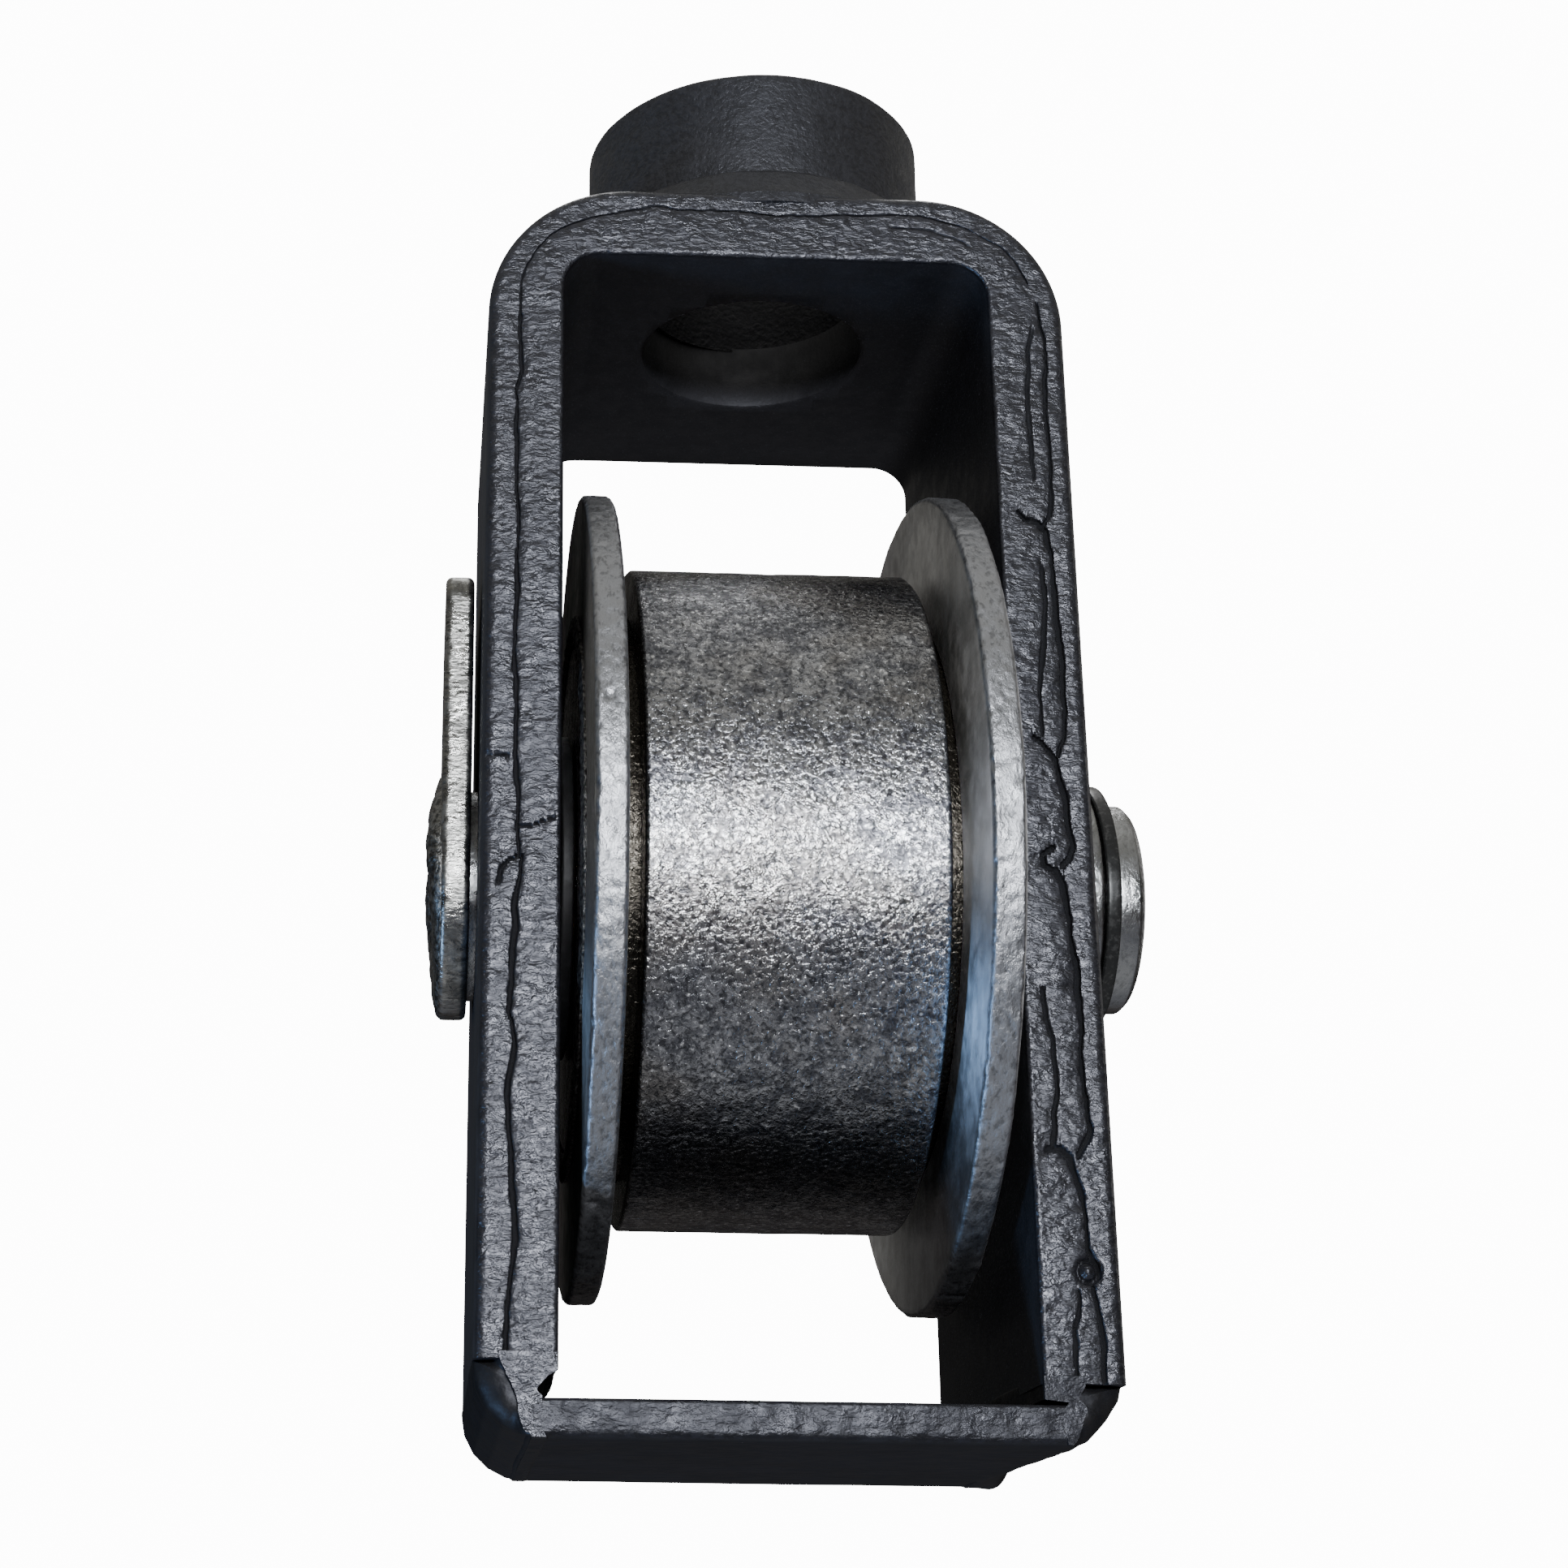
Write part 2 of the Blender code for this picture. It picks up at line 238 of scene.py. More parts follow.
def divided(points, step, closed=True):
    """The same outline with no stretch longer than step."""
    result = []
    pairs = list(zip(points, points[1:] + points[:1] if closed else points[1:]))
    for (ax, ay), (bx, by) in pairs:
        count = max(1, math.ceil(math.hypot(bx - ax, by - ay) / step))
        for k in range(count):
            result.append((ax + (bx - ax) * k / count, ay + (by - ay) * k / count))
    if not closed:
        result.append(points[-1])
    return result


def outward(outline):
    """Unit normals of a closed outline, given as rows of two coordinates."""
    tangent = np.roll(outline, -1, axis=0) - np.roll(outline, 1, axis=0)
    normal = np.stack([tangent[:, 1], -tangent[:, 0]], 1)
    normal /= np.maximum(np.linalg.norm(normal, axis=1, keepdims=True), 1e-12)
    after = np.roll(outline, -1, axis=0)
    area = np.sum(outline[:, 0] * after[:, 1] - after[:, 0] * outline[:, 1])
    return normal if area > 0 else -normal


def lathe(name, section, steps, material, relief=None, centre=(0, AXIS_Z), along="X"):
    """Solid of revolution from a closed section of (height, radius) points.

    relief(points, heights, radii, angles) gives the height of the surface over the plain one, in metres.
    A section that touches the axis makes a solid without a bore.
    """
    section = np.array(section)
    normal = outward(section)
    count = len(section)
    height = np.tile(section[:, 0], steps)
    radius = np.tile(section[:, 1], steps)
    angle = np.repeat(np.linspace(0, math.tau, steps, endpoint=False), count)

    def place(heights, radii):
        across = centre[0] + radii * np.cos(angle)
        up = centre[1] + radii * np.sin(angle)
        return np.stack([heights, across, up] if along == "X" else [across, up, heights], 1)

    if relief:
        lift = relief(place(height, radius), height, radius, angle)
        height = height + lift * np.tile(normal[:, 0], steps)
        off_axis = radius > 1e-6
        radius = radius + lift * np.tile(normal[:, 1], steps) * off_axis
    return loft(name, place(height, radius).reshape(steps, count, 3), material, ring=True)


def drill(obj, section, centre=(0, AXIS_Z), along="X"):
    """Cuts a turned shape out of obj."""
    plug = lathe("drill", section, 96, obj.data.materials[0], centre=centre, along=along)
    cut = obj.modifiers.new("cut", "BOOLEAN")
    cut.object = plug
    cut.operation = "DIFFERENCE"
    cut.solver = "MANIFOLD"
    bpy.context.view_layer.update()
    depsgraph = bpy.context.evaluated_depsgraph_get()
    mesh = bpy.data.meshes.new_from_object(obj.evaluated_get(depsgraph))
    obj.modifiers.clear()
    obj.data = mesh
    bpy.data.objects.remove(plug, do_unlink=True)


def pin_hole(obj, low, high):
    """Drills obj for the pin, from x = low to x = high."""
    drill(obj, [(low, 0), (low, ON_PIN), (high, ON_PIN), (high, 0)])


def stands_for(obj, body, slot, *nodes):
    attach(obj, body)
    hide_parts(*nodes)


# -------------------- material helpers


def feed(tree, socket, value):
    """Links value to socket where it is another node's output, and otherwise sets the socket to it."""
    if hasattr(value, "is_output"):
        tree.links.new(value, socket)
    else:
        socket.default_value = value


def add_node(tree, kind, inputs=(), **settings):
    """A new node. inputs gives what feeds its sockets, by their names or numbers."""
    made = tree.nodes.new("ShaderNode" + kind)
    for key, value in settings.items():
        setattr(made, key, value)
    for place, value in dict(inputs).items():
        feed(tree, made.inputs[place], value)
    return made


EVEN = (1.0, 1.0, 1.0)


class Surface:
    """A Principled material that is built up from node calls. Patterns are measured in millimetres."""

    def __init__(self, name, color, roughness, metallic=0.0, specular=0.5):
        self.material = bpy.data.materials.new(name)
        self.material.use_nodes = True
        self.tree = self.material.node_tree
        self.shader = self.tree.nodes["Principled BSDF"]
        self.set("Base Color", (*color, 1.0))
        self.set("Roughness", roughness)
        self.set("Metallic", metallic)
        self.set("Specular IOR Level", specular)
        self.mm = self.stretched(self.node("TexCoord").outputs["Object"], (MM, MM, MM))

    def set(self, name, value):
        feed(self.tree, self.shader.inputs[name], value)

    def node(self, kind, inputs=(), **settings):
        return add_node(self.tree, kind, inputs, **settings)

    def vector(self, operation, a, b=(0.0, 0.0, 0.0)):
        made = self.node("VectorMath", enumerate((a, b)), operation=operation)
        return made.outputs["Value" if operation == "LENGTH" else "Vector"]

    def math(self, operation, a, b=0.0):
        return self.node("Math", enumerate((a, b)), operation=operation).outputs[0]

    def axis(self, name):
        return self.node("SeparateXYZ", {0: self.mm}).outputs[name]

    def stretched(self, where, stretch):
        return self.vector("MULTIPLY", where, tuple(1.0 / s for s in stretch))

    def noise(self, size, detail=2.0, roughness=0.5, distortion=0.0, stretch=EVEN, at=None, shift=0.0):
        where = self.stretched(at or self.mm, stretch)
        if shift:
            where = self.vector("ADD", where, (shift, shift, shift))
        inputs = {"Vector": where, "Scale": 1.0 / size, "Detail": detail, "Roughness": roughness}
        return self.node("TexNoise", {**inputs, "Distortion": distortion}).outputs["Fac"]

    def cells(self, size, stretch=EVEN):
        """Distance to the nearest of scattered points, as a part of size."""
        inputs = {"Vector": self.stretched(self.mm, stretch), "Scale": 1.0 / size}
        return self.node("TexVoronoi", inputs, feature="F1").outputs["Distance"]

    def ramp(self, value, low, high, to_low=0.0, to_high=1.0):
        """Smooth step from to_low, where value is low, to to_high, where it is high."""
        inputs = enumerate((value, low, high, to_low, to_high))
        return self.node("MapRange", inputs, interpolation_type="SMOOTHSTEP").outputs[0]

    def patchy(self, size, low, high, **pattern):
        """A value that wanders between low and high in patches of about that size."""
        return self.ramp(self.noise(size, **pattern), 0.3, 0.7, low, high)

    def blend(self, factor, a, b):
        """The colour between a and b. A Mix node's sockets 6 and 7 are its two colours."""
        first, second = ((*color, 1.0) if isinstance(color, tuple) else color for color in (a, b))
        return self.node("Mix", {"Factor": factor, 6: first, 7: second}, data_type="RGBA").outputs[2]

    def bump(self, height, depth, normal=None):
        """Relief of up to depth millimetres where height goes from 0 to 1, on top of normal."""
        inputs = {"Strength": 1.0, "Distance": depth * MM, "Height": height}
        if normal is not None:
            inputs["Normal"] = normal
        return self.node("Bump", inputs).outputs["Normal"]

    def finish(self, color, roughness, normal):
        self.set("Base Color", color)
        self.set("Roughness", roughness)
        self.set("Normal", normal)
        return self.material


def scaled(color, factor):
    return tuple(c * factor for c in color)


# -------------------- materials

SHEEN = (0.88, 0.90, 1.0, 1.0)


def coated(name, color, roughness, specular):
    """The ground of every coated surface, with the coat's cool sheen."""
    s = Surface(name, color, roughness, specular=specular)
    s.set("Specular Tint", SHEEN)
    return s


def powder_coat(name, wrinkle_depth, specular):
    """Satin black powder coat. The cut edges are wrinkled like leather, with painted shade in the
    wrinkles' valleys and painted near-black shade in their cracks.
    """
    color = (0.0085, 0.0085, 0.0100)
    s = coated(name, color, 0.5, specular)
    cut_face = BACK / MM
    on_edge = s.ramp(s.math("ABSOLUTE", s.axis("Y")), cut_face - 0.65, cut_face - 0.2)
    crack = s.node("Attribute", attribute_name="crack").outputs["Fac"]
    peel = s.noise(0.5)
    patches = s.ramp(s.noise(9.0, detail=3.0, shift=3.0), 0.35, 0.65)
    folds = s.noise(0.95, detail=3.0, roughness=0.6, distortion=0.6, stretch=(1.7, 1.0, 0.8), shift=9.0)
    tone = s.blend(patches, scaled(color, 0.8), scaled(color, 1.25))
    # Painted light and shade on the wrinkles: their ridges are painted lighter and bluer, their valleys
    # stay dark.
    tone = s.blend(s.math("MULTIPLY", on_edge, s.ramp(folds, 0.45, 0.60)), tone, (0.013, 0.0135, 0.017))
    # Painted shade: the cracks are painted near black.
    tone = s.blend(crack, tone, (0.0012, 0.0012, 0.0016))
    gloss = s.patchy(2.6, 0.50, 0.62, detail=3.0, shift=4.0)
    gloss = s.math("SUBTRACT", gloss, s.math("MULTIPLY", on_edge, 0.18))
    gloss = s.math("ADD", gloss, s.math("MULTIPLY", crack, 0.5))
    normal = s.bump(peel, 0.045)
    normal = s.bump(s.math("MULTIPLY", folds, on_edge), wrinkle_depth, normal)
    return s.finish(tone, gloss, normal)


def boss_coat():
    """The same coat over turned metal: an even, coarse orange peel, painted lighter on its crests and
    darker in its hollows as light and shade.
    """
    color = (0.0075, 0.0078, 0.0092)
    s = coated("boss_coat", color, 0.46, 0.8)
    peel = s.noise(0.75, detail=3.0, roughness=0.6, distortion=0.3)
    # Painted light and shade: the peel's crests are painted lighter and its hollows darker.
    tone = s.blend(s.ramp(peel, 0.36, 0.6), scaled(color, 0.7), scaled(color, 1.7))
    gloss = s.patchy(3.0, 0.40, 0.54, detail=3.0, shift=4.0)
    return s.finish(tone, gloss, s.bump(peel, 0.17))


def weld_coat():
    """Powder coat over a weld bead: smooth and glossier, with a cool sheen."""
    color = (0.0075, 0.0080, 0.0100)
    s = coated("weld_coat", color, 0.4, 0.32)
    lumps = s.noise(3.0, detail=3.0)
    tone = s.blend(s.ramp(lumps, 0.35, 0.65), color, (0.011, 0.0105, 0.0105))
    normal = s.bump(lumps, 0.25)
    normal = s.bump(s.noise(0.6), 0.035, normal)
    return s.finish(tone, s.patchy(2.0, 0.42, 0.55, shift=3.0), normal)


def drum_zinc():
    """Zinc plate over rolled steel: a fine grain painted with glints on its crests and shade in its
    hollows, dull blotches, painted glint flecks, scratches, and painted shade at both ends.
    """
    color = (0.46, 0.47, 0.49)
    s = Surface("drum_zinc", color, 0.36, metallic=1.0)
    grain = s.noise(0.68, detail=3.0, roughness=0.62, distortion=0.7)
    blotch = s.noise(3.0, detail=7.0, roughness=0.78, distortion=0.6, shift=5.0)
    clouds = s.noise(16.0, detail=3.0, roughness=0.6, shift=1.0)
    tone = s.blend(s.ramp(blotch, 0.42, 0.58), (0.17, 0.175, 0.195), color)
    tone = s.blend(s.ramp(clouds, 0.46, 0.62, 0.0, 0.45), tone, (0.36, 0.335, 0.30))
    # Painted shade and glints: the grain's hollows are painted dark and its crests near white.
    tone = s.blend(s.ramp(grain, 0.34, 0.56, 0.85, 0.0), tone, (0.06, 0.062, 0.07))
    tone = s.blend(s.ramp(grain, 0.60, 0.70), tone, (0.90, 0.91, 0.93))
    # Painted glints: tiny near-white flecks scattered over the drum.
    glint_flecks = s.ramp(s.cells(2.1), 0.05, 0.15, 1.0, 0.0)
    tone = s.blend(glint_flecks, tone, (0.85, 0.86, 0.87))
    scratches = s.ramp(s.cells(7.0, stretch=(1.0, 0.10, 0.16)), 0.0, 0.10, 1.0, 0.0)
    tone = s.blend(s.math("MULTIPLY", scratches, 0.5), tone, (0.75, 0.76, 0.77))
    # Painted shade: a thin dark band at each end of the drum, where it meets the flanges.
    low, high = DRUM_LOW.x / MM, DRUM_HIGH.x / MM
    across = s.axis("X")
    shaded_ends = s.math("MAXIMUM", s.ramp(across, low, low + 0.3, 1.0, 0.0), s.ramp(across, high - 0.3, high))
    tone = s.blend(shaded_ends, tone, (0.055, 0.050, 0.042))
    gloss = s.ramp(blotch, 0.35, 0.62, 0.31, 0.22)
    normal = s.bump(grain, 0.18)
    normal = s.bump(s.noise(2.4, detail=3.0, shift=11.0), 0.09, normal)
    return s.finish(tone, gloss, normal)


def turned_zinc(name, color, rim_color, rim_radius, rim_strength=1.0, rim_gloss=0.03, anisotropic=0.85):
    """Zinc over a lathe cut face: rings round the pin's axis, and a coarse, pitted rim at rim_radius."""
    s = Surface(name, color, 0.34, metallic=1.0)
    s.set("Anisotropic Rotation", 0.25)
    s.set("Tangent", s.node("Tangent", direction_type="RADIAL", axis="X").outputs[0])
    from_axis = s.vector("SUBTRACT", s.mm, (0.0, 0.0, AXIS_Z / MM))
    radius = s.vector("LENGTH", s.vector("MULTIPLY", from_axis, (0.0, 1.0, 1.0)))
    along_radius = s.node("CombineXYZ", {0: radius}).outputs[0]
    rings = s.noise(0.22, detail=3.0, roughness=0.7, at=along_radius)
    blotch = s.noise(5.0, detail=4.0, roughness=0.6)
    tone = s.blend(s.ramp(blotch, 0.36, 0.64), scaled(color, 0.80), color)
    gloss = s.ramp(s.noise(2.4, detail=3.0, shift=5.0), 0.35, 0.65, 0.36, 0.46)
    normal = s.bump(rings, 0.010)
    normal = s.bump(s.noise(2.6, detail=3.0, shift=7.0), 0.05, normal)
    edge = rim_radius / MM
    at_rim = s.ramp(radius, edge - 1.0, edge - 0.4)
    s.set("Anisotropic", s.math("MULTIPLY", s.math("SUBTRACT", 1.0, at_rim), anisotropic))
    rim = s.math("MULTIPLY", at_rim, rim_strength)
    lumps = s.noise(0.9, detail=4.0, roughness=0.62, stretch=(0.8, 1.3, 1.3), shift=13.0)
    normal = s.bump(s.math("MULTIPLY", lumps, rim), 0.20, normal)
    pale = s.blend(s.ramp(lumps, 0.34, 0.50), scaled(rim_color, 0.6), rim_color)
    tone = s.blend(rim, tone, pale)
    gloss = s.math("ADD", gloss, s.math("MULTIPLY", rim, rim_gloss))
    return s.finish(tone, gloss, normal)


def plate_zinc():
    """The keeper plate: smooth faces, and a sheared rim with close cross marks."""
    color = (0.42, 0.42, 0.40)
    s = Surface("plate_zinc", color, 0.32, metallic=1.0)
    blotch = s.noise(3.0, detail=4.0, roughness=0.6)
    marks = s.noise(0.62, detail=3.0, roughness=0.6, distortion=0.4, stretch=(2.2, 1.0, 0.8))
    tone = s.blend(s.ramp(blotch, 0.36, 0.62), scaled(color, 0.5), color)
    tone = s.blend(s.ramp(marks, 0.30, 0.50, 0.8, 0.0), tone, scaled(color, 0.25))
    gloss = s.ramp(s.noise(1.6, detail=3.0, shift=3.0), 0.35, 0.65, 0.24, 0.40)
    return s.finish(tone, gloss, s.bump(marks, 0.13))


def weld_zinc():
    """Zinc over weld metal: dull, dark in its hollows and speckled."""
    color = (0.30, 0.30, 0.285)
    s = Surface("weld_zinc", color, 0.42, metallic=1.0)
    grain = s.noise(0.7, detail=4.0, roughness=0.65)
    tone = s.blend(s.ramp(grain, 0.38, 0.62), scaled(color, 0.25), color)
    normal = s.bump(grain, 0.25)
    return s.finish(tone, s.patchy(0.9, 0.3, 0.5, shift=2.0), normal)


def phosphate():
    """The snap ring's grey black steel, scuffed bright in places."""
    color = (0.030, 0.031, 0.031)
    s = Surface("phosphate", color, 0.34, metallic=0.6)
    scuffs = s.noise(0.8, detail=4.0, roughness=0.65)
    tone = s.blend(s.ramp(scuffs, 0.5, 0.68), color, (0.075, 0.076, 0.075))
    return s.finish(tone, s.patchy(1.2, 0.28, 0.38), s.bump(scuffs, 0.02))


def bearing_stuff(name, dark, light, patch, gloss, grain, depth, metallic=0.0):
    """Bronze or nylon: a tone between dark and light, in patches, and a fine grain of that depth."""
    s = Surface(name, light, gloss[0], metallic)
    tone = s.blend(s.ramp(s.noise(patch, detail=3.0), 0.4, 0.6), dark, light)
    return s.finish(tone, s.patchy(1.0, *gloss), s.bump(s.noise(grain), depth))


COAT = powder_coat("powder_coat", wrinkle_depth=0.27, specular=0.78)
BAR_COAT = powder_coat("bar_coat", wrinkle_depth=0.12, specular=0.3)
BOSS_COAT = boss_coat()
WELD_COAT = weld_coat()
DRUM_ZINC = drum_zinc()
RIM = (0.40, 0.41, 0.43)
LEFT_RADIUS = half_height(*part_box("flange_left"))
RIGHT_RADIUS = half_height(*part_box("flange_right"))
# Lit and shaded copies of one zinc: the left flange's faces are painted dark as shade, the right one's
# painted bright as light.
SHADED_LEFT_FLANGE_ZINC = turned_zinc("shaded_left_flange_zinc", (0.28, 0.28, 0.27), RIM, LEFT_RADIUS)
LIT_RIGHT_FLANGE_ZINC = turned_zinc("lit_right_flange_zinc", (0.84, 0.85, 0.87), RIM, RIGHT_RADIUS)
PIN_RIM = {"rim_strength": 0.6, "rim_gloss": -0.22, "anisotropic": 0.4}
PIN_ZINC = turned_zinc("pin_zinc", (0.36, 0.37, 0.37), (0.40, 0.41, 0.42), PIN_RADIUS, **PIN_RIM)
PLATE_ZINC = plate_zinc()
WELD_ZINC = weld_zinc()
RING_STEEL = phosphate()
BRONZE_TONE = (0.58, 0.40, 0.20)
BRONZE = bearing_stuff("bronze", scaled(BRONZE_TONE, 0.6), BRONZE_TONE, 3.0, (0.32, 0.5), 0.4, 0.02, 1.0)
NYLON_TONE = (0.010, 0.010, 0.011)
NYLON = bearing_stuff("nylon", NYLON_TONE, scaled(NYLON_TONE, 1.6), 2.0, (0.48, 0.62), 0.3, 0.015)


# -------------------- yoke: the bent strap

# The strap is built in path coordinates: s runs along the bar from the left leg's end, over the
# crown, to the right leg's end, and t is the depth under its outer face.
BEND_Z = CROWN_TOP - BEND_OUTER
BEND_X = HALF_WIDTH - BEND_OUTER
BEND_LENGTH = math.pi / 2 * (BEND_OUTER - STRAP / 2)
LEFT_RUN = BEND_Z - LEFT_LEG_END
CROWN_START = LEFT_RUN + BEND_LENGTH
CROWN_END = CROWN_START + 2 * BEND_X
RIGHT_START = CROWN_END + BEND_LENGTH
PATH_LENGTH = RIGHT_START + BEND_Z - RIGHT_LEG_END
ROW_STEP = 0.00036
EDGE_COLUMNS = 88
FACE_COLUMNS = 14


def left(z):
    """Distance along the bar to a height on the left leg, in millimetres."""
    return z * MM - LEFT_LEG_END


def crown(x):
    return CROWN_START + x * MM + BEND_X


def right(z):
    return RIGHT_START + BEND_Z - z * MM


def line(run, *points):
    """The (s, t) points of a path, from their places on that run and their depths in millimetres."""
    return [(run(place), depth * MM) for place, depth in points]


# fmt: off
# Shear cracks on the front edge. The long one follows the bar all the way round. On the right leg
# the metal has torn in overlapping flakes, each ending in a hook.
CRACKS = [
    # half width, depth, how far the inner side rounds down, path
    (0.24, 1.0, 0.4, line(
        left, (9.0, 3.6), (15.5, 4.1), (24.3, 4.9), (33.3, 4.3), (42.9, 3.8), (46.5, 4.5), (50.6, 3.9),
        (57.9, 4.2), (64.3, 4.3), (68.6, 5.2), (70.7, 5.2))),
    (0.22, 0.9, 0.4, line(
        left, (70.9, 4.7), (75.0, 4.3), (79.0, 4.6), (85.0, 4.1), (94.0, 4.2), (105.0, 3.9), (116.6, 4.2),
        (127.2, 3.9), (135.5, 3.9), (138.0, 4.5), (146.5, 4.2))),
    (0.12, 0.45, 0.6, line(left, (146.5, 4.2), (151.5, 3.8)) + line(
        crown, (-28.0, 4.0), (-22.2, 3.7), (-16.7, 3.0), (-5.7, 3.1), (5.2, 3.5), (16.1, 3.1),
        (21.5, 3.3), (29.0, 3.9), (36.0, 3.6))),
    (0.18, 0.7, 0.5, line(
        right, (150.0, 3.2), (144.7, 2.8), (132.7, 2.8), (123.4, 2.8), (119.3, 3.0), (117.4, 4.4))),
    (0.24, 0.7, 0.2, line(left, (70.9, 4.7), (70.3, 3.4), (69.0, 2.7), (67.4, 2.5))),
    (0.22, 0.5, 0.2, line(left, (74.8, 4.6), (74.8, 6.1), (75.5, 7.5), (76.0, 9.2))),
    (0.24, 0.5, 0.2, line(left, (84.4, 0.2), (83.9, 1.2), (84.3, 2.2), (84.0, 3.2))),
    (0.20, 0.35, 0.3, line(crown, (16.0, 5.0), (21.4, 5.3), (26.7, 6.4))),
    (0.25, 1.0, 1.0, line(
        right, (119.6, 7.6), (118.5, 6.7), (118.2, 5.0), (117.0, 4.0), (114.2, 3.7), (106.8, 3.1),
        (102.3, 2.7), (91.8, 2.8), (88.0, 3.3), (85.8, 4.1))),
    (0.24, 0.6, 0.7, line(
        right, (111.9, 4.8), (107.3, 4.5), (102.8, 4.7), (98.4, 5.5), (95.0, 6.0), (88.5, 6.1))),
    (0.27, 1.1, 1.0, line(
        right, (88.2, 7.4), (87.6, 6.3), (85.2, 4.4), (83.1, 4.0), (80.4, 3.5), (76.6, 3.2),
        (73.5, 2.9), (72.2, 3.4), (71.1, 4.2))),
    (0.28, 1.2, 1.1, line(
        right, (73.4, 5.5), (72.5, 6.7), (71.0, 6.3), (70.4, 5.1), (68.7, 4.4), (65.0, 4.0),
        (61.9, 3.6), (58.3, 3.1), (47.6, 3.1), (39.5, 2.9), (37.5, 2.9), (34.5, 4.3))),
    (0.24, 0.6, 0.8, line(right, (55.1, 7.5), (51.5, 7.4), (49.5, 6.9), (42.4, 6.7), (35.4, 7.2))),
    (0.27, 1.1, 1.1, line(
        right, (35.0, 7.9), (35.1, 6.4), (34.0, 5.3), (32.1, 4.7), (29.6, 4.1), (26.7, 4.0),
        (23.3, 3.9), (21.4, 2.9), (20.0, 2.5))),
    (0.32, 0.9, 0.8, line(right, (18.5, 3.4), (16.2, 3.0), (13.3, 2.8), (6.7, 2.8))),
    (0.24, 0.6, 0.8, line(
        right, (18.0, 5.2), (16.1, 5.3), (13.7, 6.1), (11.8, 5.8), (8.5, 6.2), (5.7, 6.1))),
    (0.24, 0.45, 0.5, line(right, (146.5, 4.2), (143.4, 5.2), (133.9, 5.3), (124.5, 5.2))),
]
# fmt: on
# A round burl stands up in a moat on the right leg.
BURL_S, BURL_T = right(20.4), 4.0 * MM
BURL_RADIUS = 0.0007
BURL_HEIGHT = 0.0005
MOAT_DEPTH = 0.0006
BACK_EDGE_SHARE = 0.6
OUTER_ROUND_OFF = 0.0005
CRACK_REACH = 0.006


def crack_shape(s, t, path, width, depth, round_off):
    """Depth of one crack in metres, and how far inside it each point (s, t) is, from 0 to 1.

    Most of the depth is the cut itself. The rest is the slope on both sides, wider on the inner one.
    """
    nearest = np.full(len(s), 1e9)
    inner = np.zeros(len(s), bool)
    for (s0, t0), (s1, t1) in zip(path, path[1:]):
        ds, dt = s1 - s0, t1 - t0
        along = np.clip(((s - s0) * ds + (t - t0) * dt) / (ds * ds + dt * dt), 0, 1)
        gap_s = s - s0 - along * ds
        gap_t = t - t0 - along * dt
        away = np.hypot(gap_s, gap_t)
        closer = away < nearest
        nearest = np.where(closer, away, nearest)
        inner = np.where(closer, gap_t > 0, inner)
    inside = 1 - rises(nearest, 0.3 * width * MM, 1.3 * width * MM)
    inner_slope = np.exp(-nearest / (round_off * MM))
    outer_slope = 0.6 * np.exp(-nearest / OUTER_ROUND_OFF)
    return depth * MM * (0.7 * inside + 0.3 * np.where(inner, inner_slope, outer_slope)), inside


def edge_relief(s, t):
    """Height of a cut edge over its plain face, in metres, and how deep in a crack each point is."""
    flat = np.stack([s, t, np.zeros_like(s)], 1)
    wobble = 0.00030 * rough(flat, 0.0035, 31, 4)
    height = 0.00012 * rough(flat, 0.006, 5, 2)
    height += 0.00007 * rough(flat * (1.6, 1.0, 1.0), 0.0014, 8, 3)
    crack = np.zeros(len(s))
    for width, depth, round_off, path in CRACKS:
        places = [place for place, _ in path]
        near = (s > min(places) - CRACK_REACH) & (s < max(places) + CRACK_REACH)
        uneven = 1 + 0.5 * lattice_noise(flat[near], 0.0045, 57)
        sunk, inside = crack_shape(s[near], t[near] + wobble[near], path, width * uneven, depth, round_off)
        height[near] -= sunk
        crack[near] = np.maximum(crack[near], inside)
    away = np.hypot(s - BURL_S, t - BURL_T)
    height += BURL_HEIGHT * np.exp(-((away / BURL_RADIUS) ** 2))
    moat = np.exp(-(((away - 1.8 * BURL_RADIUS) / (0.5 * BURL_RADIUS)) ** 2))
    return height - MOAT_DEPTH * moat, crack


def bend(part):
    """Points on a bend's outer and inner side, part of the way round it: (in, down) from the corner."""
    turn = part * math.pi / 2
    outer = (BEND_OUTER * (1 - math.cos(turn)), BEND_OUTER * (1 - math.sin(turn)))
    straight = BEND_OUTER - STRAP - BEND_INNER
    run = part * (2 * straight + BEND_INNER * math.pi / 2) - straight
    angle = min(max(run / BEND_INNER, 0.0), math.pi / 2)
    before, after = max(-run, 0.0), max(run - BEND_INNER * math.pi / 2, 0.0)
    inner_in = STRAP + BEND_INNER * (1 - math.cos(angle)) + after
    inner_down = STRAP + BEND_INNER * (1 - math.sin(angle)) + before
    return outer, (inner_in, inner_down)


def strap_frame(s):
    """Points on the outer and inner face, in the XZ plane, at each distance s along the bar."""
    outer = np.zeros((len(s), 2))
    inner = np.zeros((len(s), 2))
    for i, here in enumerate(s):
        hand = -1 if here < CROWN_START + BEND_X else 1
        part = (here - LEFT_RUN) / BEND_LENGTH if hand < 0 else 1 - (here - CROWN_END) / BEND_LENGTH
        if part < 0:
            height = LEFT_LEG_END + here if hand < 0 else BEND_Z - (here - RIGHT_START)
            outer[i], inner[i] = (hand * HALF_WIDTH, height), (hand * (HALF_WIDTH - STRAP), height)
        elif part < 1:
            for side, (in_, down) in zip((outer, inner), bend(part)):
                side[i] = (hand * (HALF_WIDTH - in_), CROWN_TOP - down)
        else:
            across = here - CROWN_START - BEND_X
            outer[i], inner[i] = (across, CROWN_TOP), (across, CROWN_TOP - STRAP)
    return outer, inner


